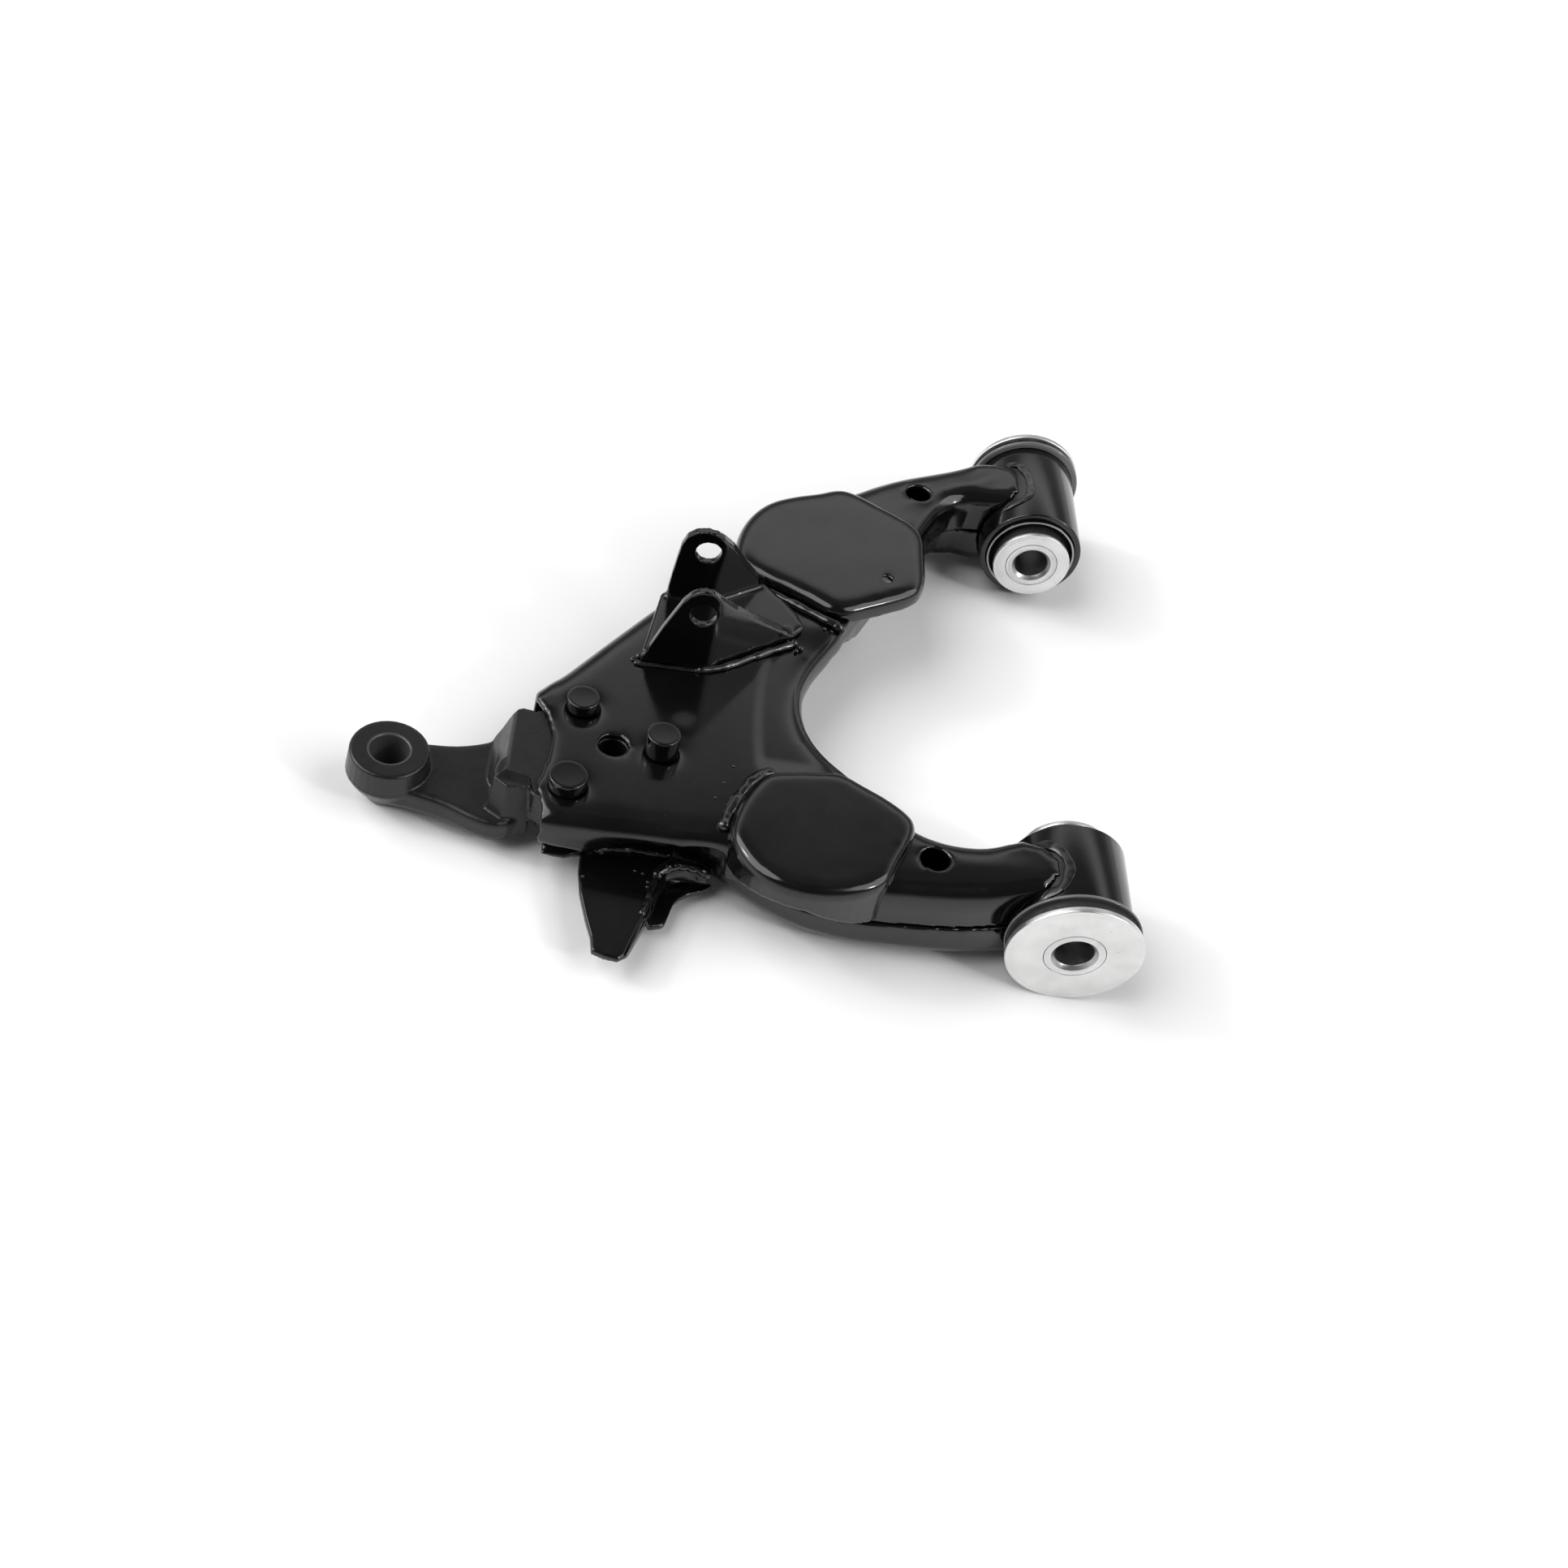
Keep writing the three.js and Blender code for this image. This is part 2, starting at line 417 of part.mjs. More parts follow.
// ---------------------------------------------------------------- bushes
const bushParts = ({ outward, flangeFace, tubeLength, washerGap, innerGap }) => {
  const y = (distance) => flangeFace + outward * distance;   // distance out of the flange
  const tubeOuter = -sleeve.flange - clearance;
  const tubeInner = tubeOuter - tubeLength;
  const largeInner = washerGap;
  const largeOuter = washerGap + largeWasher.thickness;
  const smallInner = tubeInner - innerGap;
  const smallOuter = smallInner - smallWasher.thickness;
  const bore = tube.radius - tube.wall;
  const sleeveBore = sleeve.radius - sleeve.wall;
  const hole = core.radius + clearance;
  const round = (profile, sides) => turned(profile.map(([r, d]) => [r, y(d)]), sides);
  return {
    eye_tube: round([[bore, tubeInner], [tube.radius - 1, tubeInner],
      [tube.radius, tubeInner + 1], [tube.radius, tubeOuter], [bore, tubeOuter]], 40),
    sleeve: round([[sleeveBore, tubeInner - 1.5], [sleeve.radius, tubeInner - 1.5],
      [sleeve.radius, -sleeve.flange], [sleeve.flangeRadius, -sleeve.flange],
      [sleeve.flangeRadius, 0], [sleeveBore, 0]], 44),
    rubber: round([[hole, smallInner + clearance], [21.5, smallInner + clearance],
      [24.6, tubeInner + 1], [sleeveBore - clearance, tubeInner + 6],
      [sleeveBore - clearance, clearance], [33, clearance], [33.4, clearance + 1],
      [32, largeInner - clearance], [hole, largeInner - clearance]], 36),
    inner_tube: round([[core.bore, smallOuter + core.chamfer],
      [core.bore + core.chamfer, smallOuter], [core.radius, smallOuter],
      [core.radius, largeOuter], [core.bore + core.chamfer, largeOuter],
      [core.bore, largeOuter - core.chamfer]], 36),
    large_washer: round([[hole, largeInner], [largeWasher.radius, largeInner],
      [largeWasher.radius, largeOuter - 0.6], [largeWasher.radius - 0.6, largeOuter],
      [hole, largeOuter]], 48),
    small_washer: round([[hole, smallInner], [smallWasher.radius, smallInner],
      [smallWasher.radius, smallOuter + 0.5], [smallWasher.radius - 0.5, smallOuter],
      [hole, smallOuter]], 40),
  };
};

// ---------------------------------------------------------------- welds
// keeps a bead a small gap away from its neighbours
const keepOff = (solid, ...neighbours) => neighbours.reduce((left, neighbour) => {
  const steps = [[0, 0, 0], [1, 0, 0], [-1, 0, 0], [0, 1, 0], [0, -1, 0], [0, 0, 1],
    [0, 0, -1]];
  return steps.reduce((rest, step) => rest.subtract(
    neighbour.translate(step.map((s) => s * 0.2))), left);
}, solid);
const onTube = (points, lift) => points.map(([x, y]) => [x, y,
  pivotHeight + Math.sqrt(Math.max(0, (tube.radius + lift) ** 2 - x * x))]);

// ---------------------------------------------------------------- assembly
const upper = upperShell();
const lower = lowerShell();
const padFront = frontPad();
const padRear = rearPad();
const bracket = shockBracket();
const stabiliser = stabiliserBracket();
const gusset = stabiliserGusset();
place(weldedArm, 'upper_shell', upper, glossPaint());
place(weldedArm, 'lower_shell', lower, glossPaint());
place(weldedArm, 'ball_joint_arm', forging(), forgedPaint());
for (const [name, data] of Object.entries(rivets)) {
  place(weldedArm, name, rivet(data), glossPaint());
}
place(weldedArm, 'front_bump_pad', padFront, glossPaint());
place(weldedArm, 'rear_bump_pad', padRear, glossPaint());
place(weldedArm, 'shock_bracket', bracket, glossPaint());
place(weldedArm, 'stabiliser_bracket', stabiliser, glossPaint());
place(weldedArm, 'stabiliser_gusset', gusset, glossPaint());

const welds = {
  shock_bracket_weld: keepOff(onRoof(bead([[-236, 73.2, 1.2], [-226, 73, 1.4],
    [-214, 73.2, 1.4], [-204, 73.6, 1.4], [-199, 74.6, 1.2]], 2.3, 0.05)), upper, bracket),
  front_pad_weld: keepOff(onRoof(bead([[-185, -34, 1.6], [-181, -20, 2.2], [-175.5, -7, 2.4],
    [-168, 4, 2.4], [-160, 8.4, 1.8]], 3.6, 0.05)), upper, padFront),
  rear_pad_weld: keepOff(onRoof(bead([[-164, 143.5, 1.8], [-156, 140.2, 2.2],
    [-142, 132, 2.4], [-132, 126.6, 2.4], [-126, 125.4, 1.8]], 3.2, 0.05)), upper, padRear,
    bracket),
  front_tube_weld: keepOff(bead(onTube([[-29.5, -50], [-22, -49.8], [-13, -48], [-8, -41],
    [-6.5, -33], [-9, -24], [-16, -15.5], [-27, -10.5]], 0.6), 2.6, 0.05), upper,
    tubeRoom()),
  rear_tube_weld: keepOff(bead(onTube([[-29.5, 257], [-20, 256.5], [-9, 260], [-4.5, 268],
    [-4.5, 280], [-7, 290], [-13, 298], [-27, 303.5]], 0.6), 2.6, 0.05), upper, tubeRoom()),
  stabiliser_weld: keepOff(bead([[-243, -35, 17.6], [-232, -31.5, 18.2], [-218, -30.5, 18.4],
    [-203, -30.5, 18.2]], 3, 0.05), upper, lower, stabiliser),
  stabiliser_gusset_weld: keepOff(bead([[-201, -51, 17], [-195, -43.5, 17.8],
    [-188, -38, 18], [-181, -35.5, 17.6]], 2.8, 0.05), upper, lower, gusset, stabiliser),
};
for (const [name, solid] of Object.entries(welds)) place(weldedArm, name, solid, forgedPaint());

for (const [side, data] of Object.entries(bushes)) {
  const bushCore = new THREE.Group();
  bushCore.name = `${side}_bush_core`;
  arm.add(bushCore);
  const parts = bushParts(data);
  place(weldedArm, `${side}_eye_tube`, parts.eye_tube, glossPaint());
  place(weldedArm, `${side}_bush_sleeve`, parts.sleeve, glossPaint());
  place(weldedArm, `${side}_bush_rubber`, parts.rubber, rubber());
  place(bushCore, `${side}_inner_tube`, parts.inner_tube, zinc());
  place(bushCore, `${side}_large_washer`, parts.large_washer, zinc());
  place(bushCore, `${side}_small_washer`, parts.small_washer, zinc());
}

// stand the arm on the ground with its middle over the origin
const extent = new THREE.Box3().setFromObject(arm);
arm.position.set(-(extent.min.x + extent.max.x) / 2, -(extent.min.y + extent.max.y) / 2,
  -extent.min.z);
const group = new THREE.Group();
group.name = 'object';
group.add(arm);
group.updateMatrixWorld(true);
export default group;
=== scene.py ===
import math
import random

import bmesh
import bpy
import numpy as np
from mathutils import Matrix, Vector


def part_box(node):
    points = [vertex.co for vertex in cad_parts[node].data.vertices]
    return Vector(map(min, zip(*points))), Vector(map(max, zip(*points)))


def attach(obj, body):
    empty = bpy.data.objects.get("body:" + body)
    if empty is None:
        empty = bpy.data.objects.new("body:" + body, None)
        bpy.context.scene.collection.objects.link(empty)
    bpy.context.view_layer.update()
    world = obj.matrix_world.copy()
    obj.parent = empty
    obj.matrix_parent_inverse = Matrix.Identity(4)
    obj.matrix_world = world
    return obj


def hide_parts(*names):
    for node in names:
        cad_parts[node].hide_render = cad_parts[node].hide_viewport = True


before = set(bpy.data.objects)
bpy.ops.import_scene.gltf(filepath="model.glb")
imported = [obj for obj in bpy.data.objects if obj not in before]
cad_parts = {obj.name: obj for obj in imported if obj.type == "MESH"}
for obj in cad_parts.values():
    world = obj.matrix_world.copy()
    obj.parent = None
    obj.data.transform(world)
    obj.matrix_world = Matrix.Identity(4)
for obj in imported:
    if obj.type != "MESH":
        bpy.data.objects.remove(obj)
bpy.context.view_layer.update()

# A pressed-steel control arm. Sheet-metal and forged pieces are refined from their CAD nodes,
# apart from the gusset, which is lofted between its edges. Round pieces are turned from
# profiles, and weld beads are laid along their seams.
MM = 0.001
SCENE = bpy.context.scene
SCENE.view_settings.view_transform = "Standard"

# ------------------------------------------------------------------ the arm's own frame
# Arm coordinates are millimetres: x from the pivot axis, y along it, z up from the ground.
TUBE_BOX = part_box("front_inner_tube")
PIVOT = Vector(((TUBE_BOX[0].x + TUBE_BOX[1].x) / 2, 0, (TUBE_BOX[0].z + TUBE_BOX[1].z) / 2))
REAR_FACE = 321.7               # y of the rear large washer's outer face
BASE_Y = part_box("rear_large_washer")[1].y - REAR_FACE * MM
ROOF_SLOPE = math.radians(3.55)
ROOF_HEIGHT = 59.7              # roof height above the ground at the pivot axis


def at(x, y, z):
    """Scene point of arm coordinates."""
    return Vector((PIVOT.x + x * MM, BASE_Y + y * MM, z * MM))


EYE_X, EYE_Y = -349, -5         # axis of the ball-joint eye
EYE = at(EYE_X, EYE_Y, 0)


def roof_height(x):
    """Height of the upper shell's sloping roof above the ground."""
    return ROOF_HEIGHT + x * math.tan(ROOF_SLOPE)


def on_roof(x, y, lift):
    """Point lift millimetres above the roof."""
    return at(x - lift * math.sin(ROOF_SLOPE), y, roof_height(x) + lift * math.cos(ROOF_SLOPE))


def arm_coordinates(points):
    """Arm x, y and z in millimetres of points in metres."""
    origin = np.array(at(0, 0, 0))
    return ((points - origin) / MM).T


def hump(value, centre, width):
    """Bell of height 1 at centre, for numpy arrays."""
    return np.exp(-((value - centre) / width) ** 2)


def step(value, start, end):
    """Smooth step from 0 at start to 1 at end, for numpy arrays."""
    t = np.clip((value - start) / (end - start), 0, 1)
    return t * t * (3 - 2 * t)


# ------------------------------------------------------------------ mesh helpers
def new_object(name, mesh, body, material, replaces):
    """Smooth-shaded piece that rides on a body and stands in for the CAD nodes it replaces."""
    mesh.name = name
    mesh.polygons.foreach_set("use_smooth", [True] * len(mesh.polygons))
    mesh.materials.clear()
    mesh.materials.append(material)
    obj = bpy.data.objects.new(name, mesh)
    SCENE.collection.objects.link(obj)
    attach(obj, body)
    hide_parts(*replaces)


def vertex_values(mesh, kind):
    """Array of every vertex's co or normal."""
    values = np.empty(len(mesh.vertices) * 3, np.float64)
    mesh.vertices.foreach_get(kind, values)
    return values.reshape(-1, 3)


def edges(mesh):
    pairs = np.empty(len(mesh.edges) * 2, np.int64)
    mesh.edges.foreach_get("vertices", pairs)
    return pairs.reshape(-1, 2)


SHRINK = 0.5                    # share of the way to the neighbours' mean, and back out
SWELL = -0.53


def relax(points, pairs, rounds, weight=None, inflate=True):
    """Laplacian smoothing. With inflate each round is followed by one outwards, which keeps
    the volume; without it, folds grow rounder."""
    count = len(points)
    degree = np.bincount(pairs.ravel(), minlength=count).astype(float)[:, None]
    amount = 1.0 if weight is None else weight[:, None]
    for _ in range(rounds):
        for factor in (SHRINK, SWELL) if inflate else (SHRINK,):
            total = np.empty_like(points)
            for axis in range(3):
                total[:, axis] = (
                    np.bincount(pairs[:, 0], points[pairs[:, 1], axis], count)
                    + np.bincount(pairs[:, 1], points[pairs[:, 0], axis], count))
            points = points + factor * amount * (total / degree - points)
    return points


def refine(node_name, voxel, rounds, soften=None, shape=None, added=None):
    """Dense smooth mesh of a CAD node. soften(points) gives a weight per point, a number of
    extra rounds and inflate; shape(points, normals) gives millimetres along the normals."""
    source = bpy.data.objects.new("work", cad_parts[node_name].data.copy())
    if added:
        add_prism(source.data, *added)
    SCENE.collection.objects.link(source)
    remesh = source.modifiers.new("voxels", "REMESH")
    remesh.mode = "VOXEL"
    remesh.voxel_size = voxel * MM
    graph = bpy.context.evaluated_depsgraph_get()
    mesh = bpy.data.meshes.new_from_object(source.evaluated_get(graph))
    bpy.data.objects.remove(source)
    pairs = edges(mesh)
    points = relax(vertex_values(mesh, "co"), pairs, rounds)
    if soften:
        weight, extra, inflate = soften(points)
        points = relax(points, pairs, extra, weight, inflate)
    mesh.vertices.foreach_set("co", points.ravel())
    mesh.update()
    if shape:
        directions = vertex_values(mesh, "normal")
        points = points + directions * (shape(points, directions) * MM)[:, None]
        mesh.vertices.foreach_set("co", points.ravel())
        mesh.update()
    return mesh


def add_prism(mesh, upper, lower):
    """Adds a closed prism between two rings of points, to be fused by the voxels."""
    work = bmesh.new()
    work.from_mesh(mesh)
    rings = [[work.verts.new(p) for p in ring] for ring in (upper, lower)]
    count = len(upper)
    for i in range(count):
        j = (i + 1) % count
        work.faces.new((rings[0][i], rings[0][j], rings[1][j], rings[1][i]))
    work.faces.new(rings[0][::-1])
    work.faces.new(rings[1])
    work.to_mesh(mesh)
    work.free()


ARC_POINTS = 5
LONGEST_FILLET = 0.48           # of the shorter side beside a corner


def rounded(profile):
    """Closed (radius, height, fillet) profile with each fillet turned into an arc."""
    result = []
    count = len(profile)
    for i, (r, h, fillet) in enumerate(profile):
        here = Vector((r, h))
        before = Vector(profile[i - 1][:2]) - here
        after = Vector(profile[(i + 1) % count][:2]) - here
        if fillet <= 0:
            result.append((r, h))
            continue
        reach = min(fillet, before.length * LONGEST_FILLET, after.length * LONGEST_FILLET)
        a, b = here + before.normalized() * reach, here + after.normalized() * reach
        for k in range(ARC_POINTS):
            t = k / (ARC_POINTS - 1)
            p = a * (1 - t) ** 2 + here * 2 * t * (1 - t) + b * t * t
            result.append((p.x, p.y))
    return result


def turned(profile, centre, direction, sides, ripple=None):
    """Mesh turned about an axis through centre; profile in millimetres, height along
    direction. ripple(angle, radius, height) gives an extra height in millimetres."""
    axis = Vector(direction).normalized()
    turn = axis.to_track_quat("Z", "Y").to_matrix()
    verts, faces = [], []
    count = len(profile)
    for s in range(sides):
        angle = 2 * math.pi * s / sides
        for r, h in profile:
            lift = ripple(angle, r, h) if ripple else 0.0
            local = Vector((r * math.cos(angle), r * math.sin(angle), h + lift)) * MM
            verts.append(Vector(centre) + turn @ local)
    for s in range(sides):
        following = (s + 1) % sides
        for k in range(count):
            k2 = (k + 1) % count
            faces.append((s * count + k, following * count + k,
                          following * count + k2, s * count + k2))
    mesh = bpy.data.meshes.new("turned")
    mesh.from_pydata(verts, [], faces)
    tidy(mesh)
    return mesh


def tidy(mesh):
    """Merges points on the axis, drops empty faces and turns all faces outwards."""
    work = bmesh.new()
    work.from_mesh(mesh)
    bmesh.ops.remove_doubles(work, verts=work.verts, dist=1e-6)
    bmesh.ops.dissolve_degenerate(work, dist=1e-7, edges=work.edges)
    bmesh.ops.recalc_face_normals(work, faces=work.faces)
    work.to_mesh(mesh)
    work.free()


CURVE_STEPS = 24                # per span, before the points are spaced evenly


def smooth_path(points, spacing):
    """Evenly spaced points on a Catmull-Rom curve through the given points."""
    ends = [points[0] * 2 - points[1]] + list(points) + [points[-1] * 2 - points[-2]]
    fine = []
    for i in range(1, len(ends) - 2):
        a, b, c, d = ends[i - 1:i + 3]
        for k in range(CURVE_STEPS):
            t = k / CURVE_STEPS
            fine.append(0.5 * (2 * b + (c - a) * t + (2 * a - 5 * b + 4 * c - d) * t * t
                               + (3 * b - a - 3 * c + d) * t ** 3))
    fine.append(points[-1])
    length = [0.0]
    for p, q in zip(fine, fine[1:]):
        length.append(length[-1] + (q - p).length)
    steps = max(8, round(length[-1] / spacing))
    result, k = [], 0
    for i in range(steps + 1):
        want = length[-1] * i / steps
        while k < len(fine) - 2 and length[k + 1] < want:
            k += 1
        share = (want - length[k]) / max(length[k + 1] - length[k], 1e-9)
        result.append(fine[k].lerp(fine[k + 1], min(share, 1)))
    return result


# ------------------------------------------------------------------ material helpers
def material(name, roughness, metallic=0.0, **sockets):
    mat = bpy.data.materials.new(name)
    mat.use_nodes = True
    shader = mat.node_tree.nodes["Principled BSDF"]
    shader.inputs["Roughness"].default_value = roughness
    shader.inputs["Metallic"].default_value = metallic
    for socket, value in sockets.items():
        shader.inputs[socket.replace("_", " ")].default_value = value
    return mat


def node(mat, kind, inputs=None, **settings):
    made = mat.node_tree.nodes.new(kind)
    for key, value in settings.items():
        setattr(made, key, value)
    for key, value in (inputs or {}).items():
        if isinstance(value, bpy.types.NodeSocket):
            mat.node_tree.links.new(value, made.inputs[key])
        else:
            made.inputs[key].default_value = value
    return made


def noise(mat, scale, detail, rough=0.5, stretch=None):
    place = node(mat, "ShaderNodeTexCoord").outputs["Object"]
    if stretch:
        place = node(mat, "ShaderNodeMapping", {"Vector": place, "Scale": stretch}).outputs[0]
    return node(mat, "ShaderNodeTexNoise", {"Vector": place, "Scale": scale,
                                            "Detail": detail, "Roughness": rough}).outputs[0]


def ramp(mat, value, stops):
    """Colour ramp; stops are (position, colour), where a colour of one number is a grey."""
    made = node(mat, "ShaderNodeValToRGB", {"Fac": value})
    elements = made.color_ramp.elements
    while len(elements) < len(stops):
        elements.new(0.5)
    for element, (position, colour) in zip(elements, stops):
        element.position = position
        element.color = (*colour, 1) if len(colour) == 3 else (colour[0],) * 3 + (1,)
    return made.outputs["Color"]


def spread(mat, value, low, high, from_low=0.3, from_high=0.7):
    """value's range from_low to from_high, clamped and stretched to low to high."""
    return node(mat, "ShaderNodeMapRange", {"Value": value, "From Min": from_low,
                                            "From Max": from_high, "To Min": low,
                                            "To Max": high}).outputs[0]


def mixed(mat, share, a, b):
    made = node(mat, "ShaderNodeMix", {"Factor": share}, data_type="RGBA")
    for key, value in ((6, a), (7, b)):
        if isinstance(value, bpy.types.NodeSocket):
            mat.node_tree.links.new(value, made.inputs[key])
        else:
            made.inputs[key].default_value = (*value, 1)
    return made.outputs[2]


def feed(mat, socket, value):
    shader = mat.node_tree.nodes["Principled BSDF"]
    mat.node_tree.links.new(value, shader.inputs[socket])


def bump(mat, layers):
    """Chain of bumps; layers are (height, distance in millimetres, strength)."""
    normal = None
    for height, distance, strength in layers:
        inputs = {"Height": height, "Distance": distance * MM, "Strength": strength}
        if normal:
            inputs["Normal"] = normal
        normal = node(mat, "ShaderNodeBump", inputs).outputs[0]
    feed(mat, "Normal", normal)


def specks(mat, scale, size):
    """1 inside small scattered dots, 0 elsewhere."""
    place = node(mat, "ShaderNodeTexCoord").outputs["Object"]
    dots = node(mat, "ShaderNodeTexVoronoi", {"Vector": place, "Scale": scale})
    return node(mat, "ShaderNodeMapRange", {"Value": dots.outputs["Distance"],
                                            "From Min": size, "From Max": size * 0.5,
                                            "To Min": 0.0, "To Max": 1.0}).outputs[0]


def edge_wear(mat):
    """1 on sharp outer edges, 0 elsewhere."""
    pointed = node(mat, "ShaderNodeNewGeometry").outputs["Pointiness"]
    return spread(mat, pointed, 0.0, 1.0, 0.56, 0.66)


def axis_distance(mat, centre, second):
    """Distance in metres from an axis through centre; second names the other axis across it."""
    place = node(mat, "ShaderNodeTexCoord").outputs["Object"]
    parts = node(mat, "ShaderNodeSeparateXYZ", {"Vector": place})
    gaps = []
    for axis in ("X", second):
        offset = node(mat, "ShaderNodeMath", {0: parts.outputs[axis],
                                              1: getattr(centre, axis.lower())},
                      operation="SUBTRACT").outputs[0]
        gaps.append(node(mat, "ShaderNodeMath", {0: offset, 1: offset},
                         operation="MULTIPLY").outputs[0])
    total = node(mat, "ShaderNodeMath", {0: gaps[0], 1: gaps[1]}, operation="ADD").outputs[0]
    return node(mat, "ShaderNodeMath", {0: total}, operation="SQRT").outputs[0]


# ------------------------------------------------------------------ materials
def gloss_paint(name="gloss_black_paint", rims=()):
    """Black dip paint on pressed steel: deep gloss, faint orange peel, dust and rubbed edges.
    rims are rings about the pivot axis painted lighter as highlights and reflections: inner and
    outer radius, grey."""
    mat = material(name, 0.22, Specular_IOR_Level=0.5, Coat_Weight=0.15,
                   Coat_Roughness=0.05, Coat_IOR=1.5)
    cloudy = ramp(mat, noise(mat, 22, 4), [(0.3, (0.0018,)), (0.7, (0.0038,))])
    worn = mixed(mat, edge_wear(mat), cloudy, (0.008, 0.008, 0.0082))
    # each rim ring paints light into the colour: painted highlights and a painted reflection
    for inner, outer, grey in rims:
        radius = axis_distance(mat, PIVOT, "Z")
        ring = node(mat, "ShaderNodeMath", {
            0: spread(mat, radius, 0.0, 1.0, inner * MM, (inner + 0.3) * MM),
            1: spread(mat, radius, 1.0, 0.0, (outer - 0.3) * MM, outer * MM)},
            operation="MULTIPLY").outputs[0]
        worn = mixed(mat, ring, worn, (grey, grey, grey))
    feed(mat, "Base Color", mixed(mat, specks(mat, 190, 0.045), worn, (0.05, 0.05, 0.048)))
    smudges = spread(mat, noise(mat, 45, 5, 0.6), 0.11, 0.2)
    feed(mat, "Roughness", smudges)
    bump(mat, [(noise(mat, 620, 2), 0.05, 0.12), (noise(mat, 70, 2), 0.4, 0.10)])
    return mat


def forged_paint():
    """Satin black paint over the shot-blasted skin of a forging."""
    mat = material("forged_black_paint", 0.4, Specular_IOR_Level=0.42, Coat_Weight=0.05,
                   Coat_Roughness=0.2)
    cloudy = ramp(mat, noise(mat, 30, 5), [(0.3, (0.004,)), (0.7, (0.0075,))])
    worn = mixed(mat, edge_wear(mat), cloudy, (0.024, 0.024, 0.0245))
    bare = spread(mat, axis_distance(mat, EYE, "Y"), 1.0, 0.0, 10.6 * MM, 11.2 * MM)
    feed(mat, "Base Color", mixed(mat, bare, worn, (0.05, 0.05, 0.05)))
    feed(mat, "Roughness", spread(mat, noise(mat, 120, 6, 0.65), 0.24, 0.4))
    bump(mat, [(noise(mat, 1500, 3, 0.6), 0.10, 0.25), (noise(mat, 180, 3), 0.35, 0.22)])
    return mat


def weld_paint():
    """Gloss black paint lying thick over rippled weld beads."""
    mat = material("weld_black_paint", 0.2, Specular_IOR_Level=0.5, Coat_Weight=0.5,
                   Coat_Roughness=0.06)
    feed(mat, "Base Color", ramp(mat, noise(mat, 160, 4), [(0.3, (0.002,)), (0.75, (0.007,))]))
    feed(mat, "Roughness", spread(mat, noise(mat, 260, 4), 0.14, 0.34))
    bump(mat, [(noise(mat, 400, 1), 0.05, 0.1), (noise(mat, 120, 1), 0.3, 0.12)])
    return mat


def bush_rubber():
    """Matt black rubber with a fine grain."""
    mat = material("bush_rubber", 0.62, Specular_IOR_Level=0.4)
    feed(mat, "Base Color", ramp(mat, noise(mat, 90, 5), [(0.3, (0.0035,)), (0.7, (0.008,))]))
    feed(mat, "Roughness", spread(mat, noise(mat, 200, 4), 0.5, 0.75))
    bump(mat, [(noise(mat, 1200, 4), 0.08, 0.3)])
    return mat


def zinc_plate():
    """Bright zinc on turned steel: concentric tool marks, pale clouding and small stains, with
    painted shade in the bore.
    """
    mat = material("zinc_plate", 0.3, metallic=1.0)
    radius = axis_distance(mat, PIVOT, "Z")
    rings = node(mat, "ShaderNodeTexNoise", {"W": radius, "Scale": 2600.0, "Detail": 3.0},
                 noise_dimensions="1D").outputs[0]
    cloudy = ramp(mat, noise(mat, 60, 5), [(0.3, (0.66, 0.66, 0.655)), (0.7, (0.80, 0.80, 0.795))])
    stained = mixed(mat, specks(mat, 90, 0.05), cloudy, (0.45, 0.44, 0.42))
    turned_face = mixed(mat, spread(mat, rings, 0.0, 0.25), stained, (0.60, 0.60, 0.595))
    # painted shade: the bore inside the inner tube is coloured darker, where shade falls inside it
    bore = spread(mat, radius, 1.0, 0.0, 11.7 * MM, 12.3 * MM)
    feed(mat, "Base Color", mixed(mat, bore, turned_face, (0.42, 0.42, 0.425)))
    scuffs = noise(mat, 700, 3, 0.7, stretch=(1, 1, 0.12))
    feed(mat, "Roughness", spread(mat, noise(mat, 150, 4), 0.28, 0.46))
    bump(mat, [(rings, 0.03, 0.5), (scuffs, 0.03, 0.5), (noise(mat, 260, 3), 0.05, 0.4)])
    return mat


PAINT = gloss_paint()
# painted highlights on the sleeve's end and the flange's rim, and a painted reflection on the back
# of its flange
RIM_HIGHLIGHT_PAINT = gloss_paint("rim_highlight_black_paint", ((25.6, 26.8, 0.5), (31.4, 34.2, 0.16),
                                            (33.9, 36.0, 0.13)))
FORGED = forged_paint()
WELD = weld_paint()
RUBBER = bush_rubber()
ZINC = zinc_plate()
ARM = "welded_arm"


# ------------------------------------------------------------------ pressed and forged pieces
def shell_creases(points, directions):
    """Height of the drawn features of the upper shell, in millimetres."""
    x, y, z = arm_coordinates(points)
    facing_up = step(directions[:, 2], 0.5, 0.9)
    outer_skin = step(z - roof_height(x) + 2.2, -0.6, 0.4)
    # a strip beside the arch lies a little lower than the rest of the roof
    edge_of_strip = -168.5 + 0.00165 * (y - 48) ** 2
    strip = step(x, edge_of_strip - 4, edge_of_strip + 4) * step(y, 4, 20) * (1 - step(y, 104, 124))
    # shallow swage down the middle of each leg, round its drain hole
    leg_end = 1 - step(x, -40, -16)
    front_leg = hump(y, -36, 9) * step(x, -96, -70) * leg_end
    rear_leg = hump(y, 262 + 0.62 * (x + 60), 8) * step(x, -96, -74) * leg_end
    # the near wall swells where it runs into the front pad
    facing_near = step(-directions[:, 1], 0.2, 0.7) * step(-y, 30, 38)
    swell = 1.3 * facing_near * hump(x, -199, 13)
    return facing_up * outer_skin * (0.5 * (front_leg + rear_leg) - strip) + swell


SHELL_HOLES = ((-241, 13), (-77, 257), (-77, -35))      # locating hole and drain holes
DIMPLE = (-100, 161)            # in the rear bump pad


